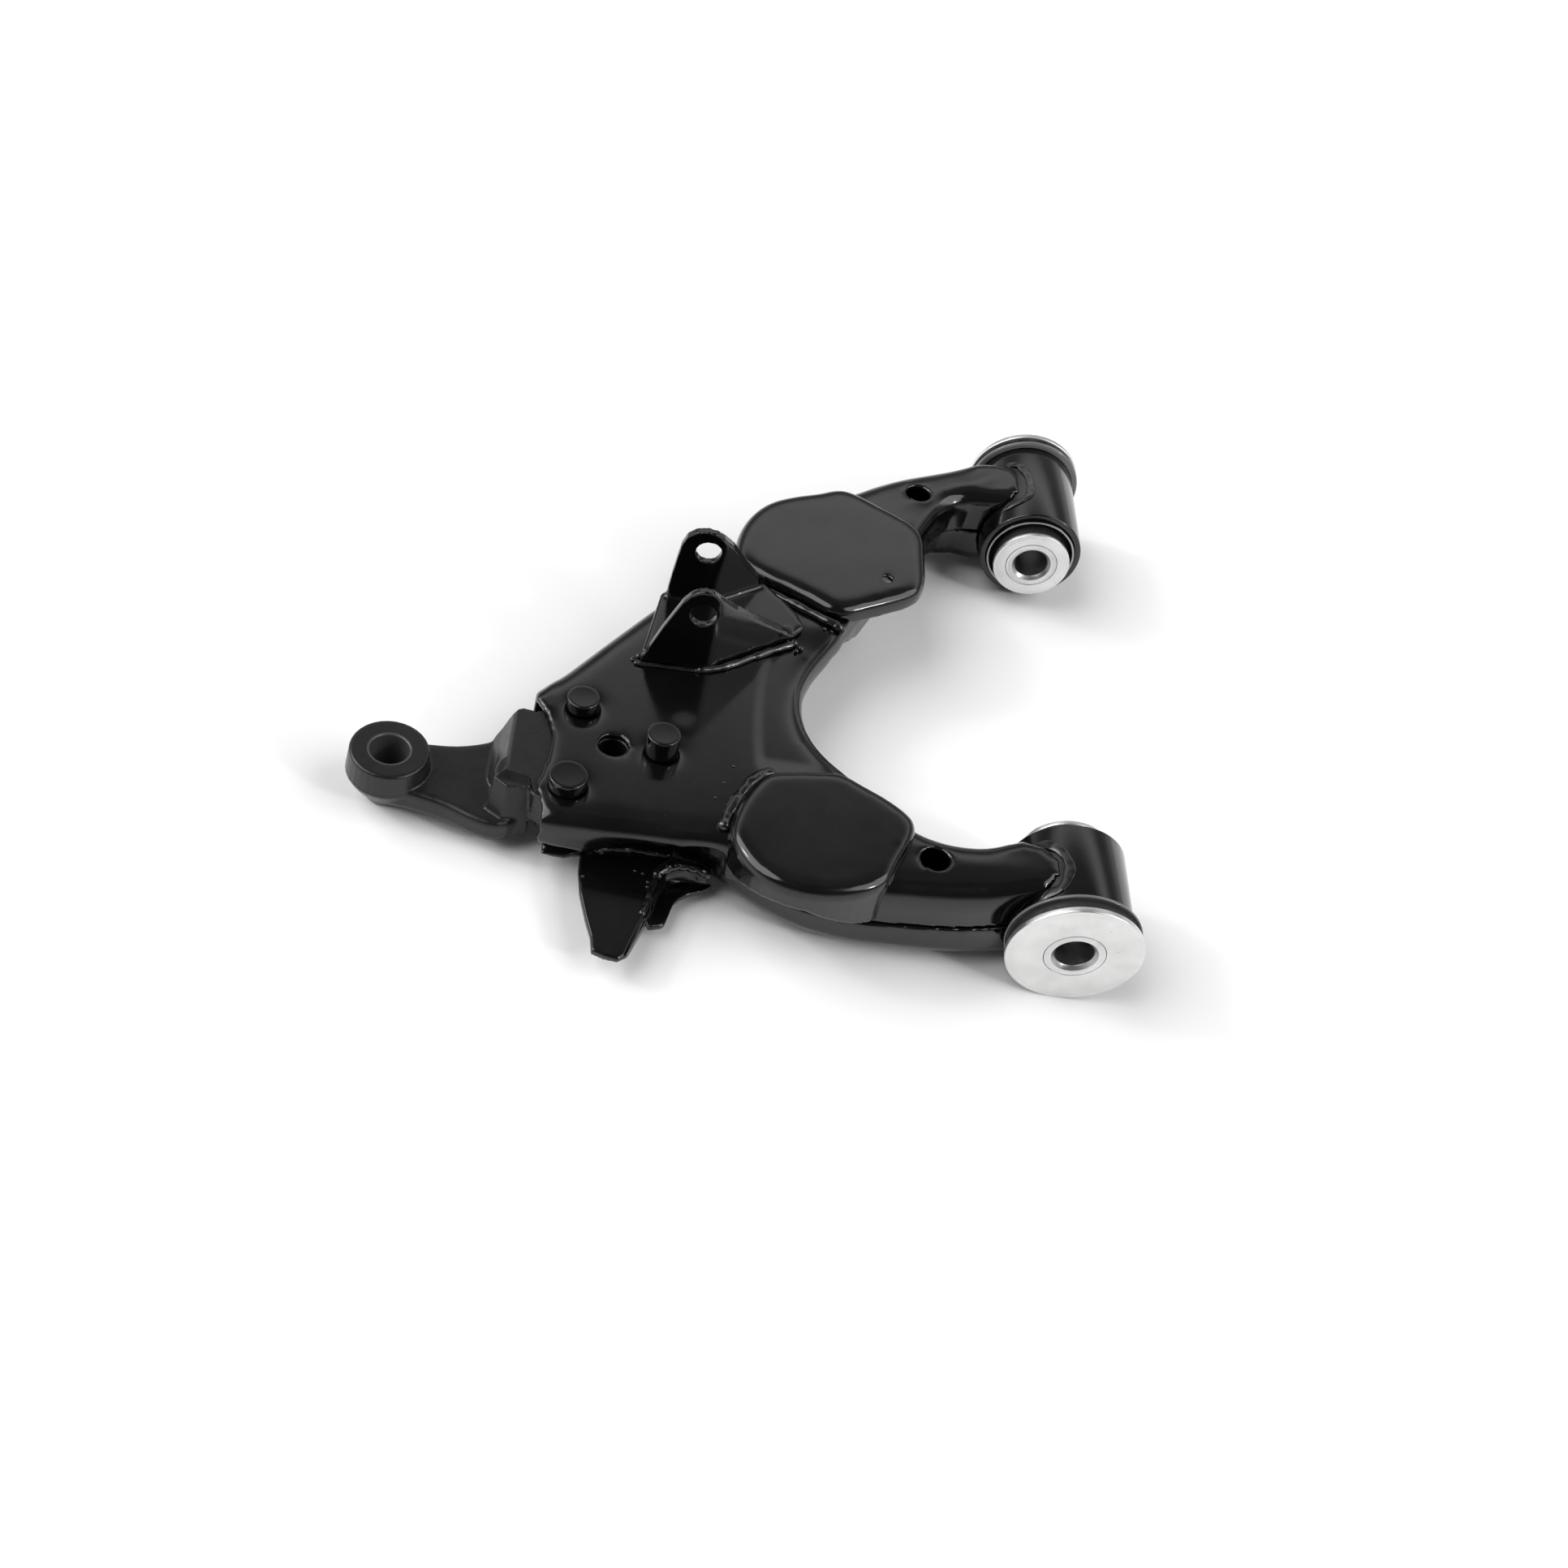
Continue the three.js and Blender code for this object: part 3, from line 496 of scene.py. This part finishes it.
def shell_folds(points):
    """The roof turns down into the walls in wide bends; holes and rims stay crisp."""
    x, y, z = arm_coordinates(points)
    weight = step(z - roof_height(x), -15, -9) * step(x, -277, -270) * (1 - step(x, -50, -38))
    for hole_x, hole_y in SHELL_HOLES:
        weight = weight * step(np.hypot(x - hole_x, y - hole_y), 8, 13)
    return weight, 60, False


def pad_folds(points):
    """The front pad's crown turns down in a wide bend."""
    x, _, z = arm_coordinates(points)
    return step(z - roof_height(x), 1.0, 4.0), 36, False


def rear_pad_folds(points):
    """The rear pad is rounder still, with soft corners all the way down its wall."""
    x, y, z = arm_coordinates(points)
    off_dimple = step(np.hypot(x - DIMPLE[0], y - DIMPLE[1]), 5, 9)
    return step(z - roof_height(x), -11.0, -7.0) * off_dimple, 70, False


def bracket_bend(points):
    """The ears of the shock bracket leave its web in a round bend."""
    x, _, z = arm_coordinates(points)
    return 1 - step(z - roof_height(x), 7, 12), 26, False


def flange_bend(points):
    """The stabiliser bracket's flange is folded down from its plate."""
    x, y, _ = arm_coordinates(points)
    fold_line = -222 + (y + 96) * 0.31
    return 1 - step(np.abs(x - fold_line), 4, 9), 14, False


# node, voxel size in millimetres, rounds of smoothing, extra rounding, drawn features
PRESSINGS = [
    ("upper_shell", 1.3, 4, shell_folds, shell_creases),
    ("lower_shell", 1.25, 4, None, None),
    ("front_bump_pad", 0.8, 6, pad_folds, None),
    ("rear_bump_pad", 0.85, 6, rear_pad_folds, None),
    ("shock_bracket", 0.7, 3, bracket_bend, None),
    ("stabiliser_bracket", 0.6, 3, flange_bend, None),
]


def pressings():
    for name, voxel, rounds, soften, shape in PRESSINGS:
        new_object(name + "_skin", refine(name, voxel, rounds, soften, shape), ARM,
                   PAINT, [name])


# upper and lower edge of the gusset's step, from the bracket's tip to the lower shell
GUSSET_EDGES = [
    ((-221.0, -95.0), (-220.0, -93.5)), ((-218.4, -84.2), (-216.6, -83.0)),
    ((-215.5, -72.0), (-213.5, -71.5)), ((-214.3, -66.0), (-208.0, -69.3)),
    ((-213.0, -60.0), (-203.3, -67.0)), ((-211.5, -52.0), (-201.3, -61.0)),
    ((-209.5, -45.5), (-198.8, -52.1)), ((-206.0, -38.0), (-193.6, -46.4)),
    ((-197.0, -34.5), (-186.0, -42.1)), ((-187.0, -36.0), (-180.5, -37.5))]
GUSSET_TOP = 16.8               # height of the upper edge above the ground
GUSSET_DROP = 7.8               # from the upper edge to the lower one
GUSSET_BEND = 5.0               # width in which the sheet steps down
GUSSET_SHEET = 3.6
GUSSET_RIM = 0.6                # rounding of the sheet's free edge
GUSSET_ROWS = 150               # along the edges
GUSSET_COLUMNS = 15             # from edge to edge, closer together at the free edge


def gusset():
    """Sheet stepped down beside the stabiliser bracket, with a lobed, rounded outer edge."""
    upper = smooth_path([at(x, y, 0) for (x, y), _ in GUSSET_EDGES], 0.5 * MM)
    lower = smooth_path([at(x, y, 0) for _, (x, y) in GUSSET_EDGES], 0.5 * MM)
    rows = []
    for i in range(GUSSET_ROWS):
        share = i / (GUSSET_ROWS - 1)
        a = upper[round(share * (len(upper) - 1))]
        b = lower[round(share * (len(lower) - 1))]
        width = max((b - a).length / MM, 0.5)
        top, bottom = [], []
        for k in range(GUSSET_COLUMNS):
            v = 1 - (1 - k / (GUSSET_COLUMNS - 1)) ** 1.6
            bend = min(1.0, v * width / GUSSET_BEND)
            drop = GUSSET_DROP * min(1.0, width / GUSSET_BEND)
            height = GUSSET_TOP - drop * bend * bend * (3 - 2 * bend)
            p = a.lerp(b, v)
            rim = max(0.0, GUSSET_RIM - (1 - v) * width)
            top.append(p + Vector((0, 0, (height - rim) * MM)))
            bottom.append(p + Vector((0, 0, (height - GUSSET_SHEET + rim) * MM)))
        rows.append(top + bottom[::-1])
    new_object("stabiliser_gusset_folded", bead_mesh([rows]), ARM, PAINT,
               ["stabiliser_gusset"])


# a post on the forging's near side that the shells butt against
LUG_TOP = ((-297.0, -19.0, 41.0), (-292.0, -12.0, 42.0), (-280.0, -14.0, 41.5),
           (-278.0, -21.0, 40.5), (-289.5, -24.0, 41.0))
LUG_FOOT = ((-299.0, -26.0, 11.0), (-292.0, -12.0, 11.0), (-278.0, -14.0, 11.0),
            (-276.0, -26.0, 11.0), (-290.0, -31.0, 11.0))


def forging_fillets(points):
    """Generous fillets on the neck, between the machined eye and the block."""
    x, y, _ = arm_coordinates(points)
    from_eye = np.hypot(x - EYE_X, y - EYE_Y)
    return step(from_eye, 20.5, 26) * (1 - step(x, -312, -302)), 8, False


def forging():
    lug = ([at(*p) for p in LUG_TOP], [at(*p) for p in LUG_FOOT])
    mesh = refine("ball_joint_arm", 0.7, 3, forging_fillets, added=lug)
    new_object("ball_joint_arm_skin", mesh, ARM, FORGED,
               ["ball_joint_arm"])


# ------------------------------------------------------------------ rivets
# x and y, radius of the head, height of the head above the roof
RIVET_HEADS = {"rivet_outer_rear": (-259, 37, 8.4, 7), "rivet_outer_front": (-261, -18, 9.6, 7.5),
               "rivet_inner": (-217, 13, 8.5, 13)}
RIVET_SHANK = 6                 # radius
RIVET_SEAT = 0.3                # gap between the head and the roof
RIVET_FOOT = 4                  # depth of the lower head
RIVET_CLEAR = 0.2               # between the lower head and the end of its CAD box


def rivets():
    up = (-math.sin(ROOF_SLOPE), 0, math.cos(ROOF_SLOPE))
    for name, (x, y, radius, head) in RIVET_HEADS.items():
        low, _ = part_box(name)
        seat = at(x, y, roof_height(x))
        under = (low.z - seat.z) / MM + RIVET_CLEAR + RIVET_FOOT
        profile = rounded([
            (0, head - 0.15, 0), (radius * 0.55, head - 0.1, 3), (radius, head, 0.9),
            (radius, RIVET_SEAT, 0.5), (RIVET_SHANK, RIVET_SEAT, 0), (RIVET_SHANK, under, 0),
            (radius, under, 0.4), (radius, under - 1.6, 1.2),
            (radius - 3, under - RIVET_FOOT, 1.5), (0, under - RIVET_FOOT, 0)])
        new_object(name + "_turned", turned(profile, seat, up, 72), ARM,
                   PAINT, [name])


# ------------------------------------------------------------------ bushes
TUBE_RADIUS = 31
TUBE_INSIDE = 27.4
SLEEVE_RADIUS = 27
SLEEVE_INSIDE = 25.1
FLANGE_RADIUS = 34.7
FLANGE_SHEET = 2.2
RUBBER_RADIUS = 24.9            # in the sleeve, wider outside it
CORE_RADIUS = 15.5
CORE_BORE = 10
CORE_CHAMFER = 12               # radius of the bore's chamfered mouth
CORE_HOLE = 15.8                # in the washers and the rubber
LARGE_RADIUS = 35
SMALL_RADIUS = 23.3
FIT_GAP = 0.3                   # between the rubber and what it is pressed against
GROOVE = 0.12                   # depth of the turned groove near each washer's edge
KNURL_TEETH = 64
KNURL_DEPTH = 0.16


def bush(side, outward):
    """One bush, turned about the pivot axis. Heights are millimetres out of its flange's
    face, taken from the CAD boxes; outward is the side of its large washer, -1 or 1."""
    flange_low, flange_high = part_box(side + "_bush_sleeve")
    flange_face = flange_low.y if outward < 0 else flange_high.y
    centre = Vector((PIVOT.x, flange_face, PIVOT.z))

    def reach(name):
        """Inner and outer end of a node, as distance out of the flange face."""
        low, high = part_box(f"{side}_{name}")
        ends = ((low.y - flange_face) * outward / MM, (high.y - flange_face) * outward / MM)
        return min(ends), max(ends)

    def make(name, profile, body, mat, sides=128, ripple=None):
        mesh = turned(rounded(profile), centre, (0, outward, 0), sides, ripple)
        new_object(f"{side}_{name}_turned", mesh, body, mat, [f"{side}_{name}"])

    def knurl(angle, radius, height):
        """Fine radial teeth pressed into both end faces of the inner tube."""
        on_end = height > core_outer - 0.05 or height < core_inner + 0.05
        if on_end and 12.6 < radius < 15.2:
            inwards = -math.copysign(1, height - (core_inner + core_outer) / 2)
            return KNURL_DEPTH * inwards * (1 - math.cos(angle * KNURL_TEETH))
        return 0.0

    tube_inner, tube_outer = reach("eye_tube")
    sleeve_inner, _ = reach("bush_sleeve")
    small_inner, small_outer = reach("small_washer")
    large_inner, large_outer = reach("large_washer")
    core_inner, core_outer = reach("inner_tube")
    core_body = side + "_bush_core"
    make("eye_tube", [
        (TUBE_INSIDE, tube_inner, 0.4), (TUBE_RADIUS, tube_inner, 1.1),
        (TUBE_RADIUS, tube_outer, 0.5), (TUBE_INSIDE, tube_outer, 0.3)],
        ARM, PAINT)
    # the sleeve's paint carries painted highlights on its end and flange rim, and a painted
    # reflection on the flange's back
    make("bush_sleeve", [
        (SLEEVE_INSIDE, sleeve_inner, 0.4), (SLEEVE_RADIUS, sleeve_inner, 0.5),
        (SLEEVE_RADIUS, -FLANGE_SHEET, 0), (FLANGE_RADIUS - 1.3, -FLANGE_SHEET, 0.5),
        (FLANGE_RADIUS, -1.6, 0.7), (FLANGE_RADIUS, 0, 0.8), (FLANGE_RADIUS - 1.0, 0, 0.3),
        (FLANGE_RADIUS - 1.2, -0.5, 0.3), (SLEEVE_INSIDE, -0.5, 0.3)],
        ARM, RIM_HIGHLIGHT_PAINT)
    rubber_outer = large_inner - FIT_GAP
    make("bush_rubber", [
        (CORE_HOLE, small_inner + FIT_GAP, 0), (CORE_HOLE, small_outer + FIT_GAP, 0),
        (21.6, small_outer + FIT_GAP, 0.6), (22.0, tube_inner - 1.0, 1.6),
        (23.4, tube_inner + 1.6, 1.2), (RUBBER_RADIUS, tube_inner + 2.6, 0.4),
        (RUBBER_RADIUS, tube_inner + 4, 0), (RUBBER_RADIUS, FIT_GAP, 0), (33.0, FIT_GAP, 0.4),
        (33.6, rubber_outer / 2, 1.4), (32.2, rubber_outer, 0.9), (CORE_HOLE, rubber_outer, 0)],
        ARM, RUBBER)
    make("inner_tube", [
        (CORE_BORE, core_inner + 2, 0.3), (CORE_CHAMFER, core_inner, 0.3), (12.7, core_inner, 0),
        (13.6, core_inner, 0), (15.1, core_inner, 0), (CORE_RADIUS, core_inner, 0.15),
        (CORE_RADIUS, core_outer, 0.15), (15.1, core_outer, 0), (13.6, core_outer, 0),
        (12.7, core_outer, 0), (CORE_CHAMFER, core_outer, 0.3), (CORE_BORE, core_outer - 2, 0.3)],
        core_body, ZINC, 256, knurl)
    make("large_washer", [
        (CORE_HOLE, large_inner, 0.2), (LARGE_RADIUS, large_inner, 0.7),
        (LARGE_RADIUS, large_outer - 0.1, 0.7), (33.1, large_outer, 0.2),
        (32.8, large_outer - GROOVE, 0.2), (32.3, large_outer - GROOVE, 0.2),
        (32.0, large_outer, 0.2), (CORE_HOLE, large_outer, 0.25)],
        core_body, ZINC, 160)
    make("small_washer", [
        (CORE_HOLE, small_inner, 0.25), (21.0, small_inner, 0.2),
        (21.3, small_inner + GROOVE, 0.2), (21.8, small_inner + GROOVE, 0.2),
        (22.1, small_inner, 0.2), (SMALL_RADIUS, small_inner, 0.7),
        (SMALL_RADIUS, small_outer, 0.5), (CORE_HOLE, small_outer, 0.2)],
        core_body, ZINC, 144)


# ------------------------------------------------------------------ welds
BEAD_SPACING = 0.35             # millimetres between rows of points
BEAD_SIDES = 20


def bead(points, radius, flat, pitch, ripple_depth, seed, round_tube):
    """Rippled bead along a path; the ripples bow forward over the crown as they froze.
    radius and pitch are millimetres; a bead round a tube faces away from the pivot axis."""
    rng = random.Random(seed)
    path = smooth_path(points, BEAD_SPACING * MM)
    phases = [rng.uniform(0, 6.3) for _ in range(3)]
    rows = []
    travelled = 0.0
    total = sum((q - p).length for p, q in zip(path, path[1:]))
    for i, p in enumerate(path):
        ahead = path[min(i + 1, len(path) - 1)] - path[max(i - 1, 0)]
        along = ahead.normalized()
        outward = Vector((p.x - PIVOT.x, 0, p.z - PIVOT.z)) if round_tube else Vector((0, 0, 1))
        across = along.cross(outward).normalized()
        up = across.cross(along)
        near_end = min(travelled, total - travelled) / (radius * MM)
        cap = math.sqrt(max(0.02, 1 - (1 - min(near_end, 1)) ** 2))
        slow = 0.10 * math.sin(travelled / MM * 0.33 + phases[0])
        quick = 0.03 * math.sin(travelled / MM * 0.9 + phases[1])
        row = []
        for s in range(BEAD_SIDES):
            angle = 2 * math.pi * s / BEAD_SIDES
            crown = max(0.0, math.sin(angle))
            place = travelled + radius * MM * 0.9 * crown
            ripple = ripple_depth * abs(math.sin(math.pi * place / (pitch * MM))) ** 0.6
            lump = 0.05 * math.sin(place / MM * 0.5 + 2 * math.cos(angle) + phases[2])
            size = radius * MM * cap * (0.9 + slow + quick + ripple + lump)
            row.append(p + across * size * math.cos(angle) + up * size * flat * math.sin(angle))
        rows.append(row)
        if i + 1 < len(path):
            travelled += (path[i + 1] - p).length
    return rows


SPATTER_RINGS = 9
SPATTER_SIDES = 14
SPATTER_HEIGHT = 0.8            # share of its width


def spatter(centre, radius, seed):
    """Small ball of weld spatter, a little flattened."""
    rng = random.Random(seed)
    rows = []
    for k in range(SPATTER_RINGS):
        tilt = math.pi * (k + 0.02) / (SPATTER_RINGS - 0.96)
        size = radius * MM * rng.uniform(0.94, 1.06)
        ring = []
        for s in range(SPATTER_SIDES):
            turn = 2 * math.pi * s / SPATTER_SIDES
            ring.append(centre + size * Vector((math.sin(tilt) * math.cos(turn),
                                                math.sin(tilt) * math.sin(turn),
                                                math.cos(tilt) * SPATTER_HEIGHT)))
        rows.append(ring)
    return rows


def bead_mesh(groups):
    """One mesh of several closed bodies, each given as rows of points."""
    verts, faces = [], []
    for rows in groups:
        first, sides = len(verts), len(rows[0])
        for row in rows:
            verts.extend(row)
        for i in range(len(rows) - 1):
            for s in range(sides):
                t = (s + 1) % sides
                a, b = first + i * sides, first + (i + 1) * sides
                faces.append((a + s, a + t, b + t, b + s))
        for base in (first, first + (len(rows) - 1) * sides):
            hub = len(verts)
            verts.append(sum((verts[base + s] for s in range(sides)), Vector()) / sides)
            faces.extend((base + s, base + (s + 1) % sides, hub) for s in range(sides))
    mesh = bpy.data.meshes.new("bead")
    mesh.from_pydata(verts, [], faces)
    tidy(mesh)
    return mesh


def roof_path(points):
    """Path on the roof from (x, y, lift)."""
    return [on_roof(x, y, lift) for x, y, lift in points]


def tube_path(points):
    """Path over the upper side of a bush tube from (x, y)."""
    radius = TUBE_RADIUS + 0.5
    return [at(x, y, PIVOT.z / MM + math.sqrt(radius ** 2 - x * x)) for x, y in points]


def free_path(points):
    """Path from arm coordinates."""
    return [at(*p) for p in points]


def roof_balls(balls):
    """Spatter on the roof from (x, y, radius)."""
    return [(on_roof(x, y, 0.2), radius) for x, y, radius in balls]


PLATE_HEIGHT = 17.1             # of the stabiliser bracket's plate, above the ground


def plate_balls(places):
    """Small spatter on the stabiliser bracket's plate from (x, y)."""
    return [(at(x, y, PLATE_HEIGHT), 0.9) for x, y in places]


# each run: path, radius, flatness, ripple pitch and ripple depth; then balls of spatter
WELDS = {
    "shock_bracket_weld": ([
        (roof_path([(-236, 73.6, 0.7), (-226, 73.6, 0.8), (-214, 73.8, 0.8), (-202, 74.2, 0.8)]),
         1.5, 0.8, 3.0, 0.06),
        (roof_path([(-203, 74.4, 1.0), (-195, 76.2, 1.3), (-185, 81.6, 1.4), (-172, 91, 1.4),
                    (-160, 99.6, 1.3), (-151, 105.6, 0.9)]), 2.3, 0.8, 9.0, 0.02)],
        roof_balls([(-233.5, 79.5, 1.9), (-236.5, 76.5, 1.5), (-155, 109, 2.1),
                    (-151, 107, 2.6), (-147.2, 103.5, 1.8), (-149.5, 101, 1.2)])),
    "front_pad_weld": ([
        (roof_path([(-184, -35, 0.9), (-180, -22, 1.5), (-174.5, -9, 2.0), (-167, 2.6, 2.0),
                    (-159, 8, 1.0)]), 3.6, 0.75, 9.0, 0.08)],
        roof_balls([(-188, -14, 0.8), (-184, -3, 0.7), (-180, 9, 0.8)])),
    "rear_pad_weld": ([
        (roof_path([(-168, 146.5, 1.0), (-156, 140.4, 1.4), (-142, 132.6, 1.6), (-132, 127.2, 1.8),
                    (-125, 124.8, 1.0)]), 2.6, 0.75, 8.0, 0.06),
        (roof_path([(-130, 125.2, 1.2), (-125.5, 124.4, 0.6), (-123.4, 123.2, -3)]),
         2.3, 0.8, 4.0, 0.08)],
        roof_balls([(-134, 122.0, 1.1), (-130, 120.8, 0.8)])),
    "front_tube_weld": ([
        (tube_path([(-31, -49), (-24, -48.8), (-16.5, -47), (-12, -41), (-10.5, -33),
                    (-12.5, -25), (-19, -17), (-29, -11.5)]), 2.8, 0.18, 9.0, 0.02)],
        []),
    "rear_tube_weld": ([
        (tube_path([(-31, 258), (-22, 257.7), (-12.5, 261), (-8.5, 268), (-8.5, 280),
                    (-10.5, 289), (-16, 297), (-29, 302.5)]), 2.8, 0.18, 9.0, 0.02)],
        []),
    "stabiliser_weld": ([
        (free_path([(-243, -34.5, 17.4), (-232, -31, 18), (-218, -30, 18.2),
                    (-203, -30, 18)]), 2.9, 0.8, 5.0, 0.1)],
        plate_balls([(-246, -52), (-221, -43), (-214, -52)])),
    "stabiliser_gusset_weld": ([
        (free_path([(-211, -45, 16.8), (-206.5, -39, 17.6), (-200, -35.5, 18),
                    (-190, -35.5, 17.8), (-182, -37.5, 16.8)]), 3.0, 0.85, 5.0, 0.16),
        (free_path([(-210.4, -46, 16.8), (-212.6, -56, 17), (-215.5, -70, 16.9)]),
         1.6, 0.7, 5.0, 0.12)],
        plate_balls([(-214, -49), (-217, -44), (-210, -41)])),
}


def welds():
    for number, (name, (runs, balls)) in enumerate(WELDS.items()):
        groups = [bead(*run, 7 * number + k, "tube" in name) for k, run in enumerate(runs)]
        groups += [spatter(centre, radius, 100 + k) for k, (centre, radius) in enumerate(balls)]
        new_object(name + "_bead", bead_mesh(groups), ARM, WELD, [name])


# ------------------------------------------------------------------ stage, light and camera
FLOOR_HALF = 20.0               # metres from the middle to the edges


def floor():
    mesh = bpy.data.meshes.new("studio_floor")
    corners = [(x * FLOOR_HALF, y * FLOOR_HALF, 0) for x, y in ((-1, -1), (1, -1), (1, 1), (-1, 1))]
    mesh.from_pydata(corners, [], [(0, 1, 2, 3)])
    mat = material("studio_white", 0.55, Specular_IOR_Level=0.2)
    feed(mat, "Base Color", ramp(mat, noise(mat, 3, 3), [(0.3, (0.86,) * 3), (0.7, (0.885,) * 3)]))
    mesh.materials.append(mat)
    plane = bpy.data.objects.new("studio_floor", mesh)
    SCENE.collection.objects.link(plane)


def sky():
    """Pale surround: bright beyond the object and at the horizon, dim over the camera."""
    world = bpy.data.worlds.new("studio")
    SCENE.world = world
    world.use_nodes = True
    tree = world.node_tree
    direction = tree.nodes.new("ShaderNodeTexCoord").outputs["Generated"]
    parts = tree.nodes.new("ShaderNodeSeparateXYZ")
    tree.links.new(direction, parts.inputs[0])

    def band(value, low, high, to_low, to_high):
        """Smooth passage from to_low at low to to_high at high."""
        made = tree.nodes.new("ShaderNodeMapRange")
        made.interpolation_type = "SMOOTHSTEP"
        tree.links.new(value, made.inputs["Value"])
        for key, number in (("From Min", low), ("From Max", high), ("To Min", to_low),
                            ("To Max", to_high)):
            made.inputs[key].default_value = number
        return made.outputs[0]

    def combine(operation, a, b):
        made = tree.nodes.new("ShaderNodeMath")
        made.operation = operation
        tree.links.new(a, made.inputs[0])
        tree.links.new(b, made.inputs[1])
        return made.outputs[0]

    # a bright band of sky beyond the object, centred about 37 degrees up
    beyond = band(parts.outputs["Y"], 0.05, 0.35, 0.0, 1.0)
    under_top = band(parts.outputs["Z"], 0.60, 0.78, 1.15, 0.16)
    over_foot = band(parts.outputs["Z"], 0.42, 0.61, 0.18, 1.0)
    panel = combine("MULTIPLY", combine("MULTIPLY", beyond, under_top), over_foot)
    horizon = band(parts.outputs["Z"], 0.05, 0.40, 0.6, 0.08)
    light = combine("MAXIMUM", panel, horizon)
    background = tree.nodes["Background"]
    tree.links.new(light, background.inputs["Strength"])
    background.inputs["Color"].default_value = (1, 1, 1, 1)


# name, direction towards the lamp, apparent width in degrees, strength; all of them so far
# away that they light the whole floor evenly
LAMPS = [
    ("left_softbox", (-0.70, 0.00, 0.70), 60, 2.5),
    ("right_softbox", (0.70, -0.12, 0.70), 50, 1.5),
    ("left_lamp", (-0.78, 0.10, 0.55), 7, 0.45),
    ("right_lamp", (0.72, -0.40, 0.50), 7, 0.5),
]


def lamps():
    for name, direction, width, strength in LAMPS:
        lamp = bpy.data.lights.new(name, "SUN")
        lamp.angle = math.radians(width)
        lamp.energy = strength
        obj = bpy.data.objects.new(name, lamp)
        obj.rotation_euler = (-Vector(direction)).to_track_quat("-Z", "Y").to_euler()
        SCENE.collection.objects.link(obj)


CAMERA_PLACE = at(-291.9, -610.6, 691.6)
CAMERA_FORWARD = Vector((0.1537, 0.6822, -0.7148))
CAMERA_RIGHT = Vector((0.9728, 0.0224, 0.2307))         # the camera is rolled a little
FOCAL_LENGTH = 40.87            # millimetres, for a sensor 36 mm wide


def camera():
    lens = bpy.data.cameras.new("camera")
    lens.sensor_width = 36.0
    lens.lens = FOCAL_LENGTH
    obj = bpy.data.objects.new("camera", lens)
    forward = CAMERA_FORWARD.normalized()
    right = (CAMERA_RIGHT - forward * CAMERA_RIGHT.dot(forward)).normalized()
    above = right.cross(forward)
    pose = Matrix((right, above, -forward)).transposed().to_4x4()
    pose.translation = CAMERA_PLACE
    obj.matrix_world = pose
    SCENE.collection.objects.link(obj)
    SCENE.camera = obj


camera()
pressings()
forging()
gusset()
rivets()
bush("front", -1)
bush("rear", 1)
welds()
floor()
sky()
lamps()
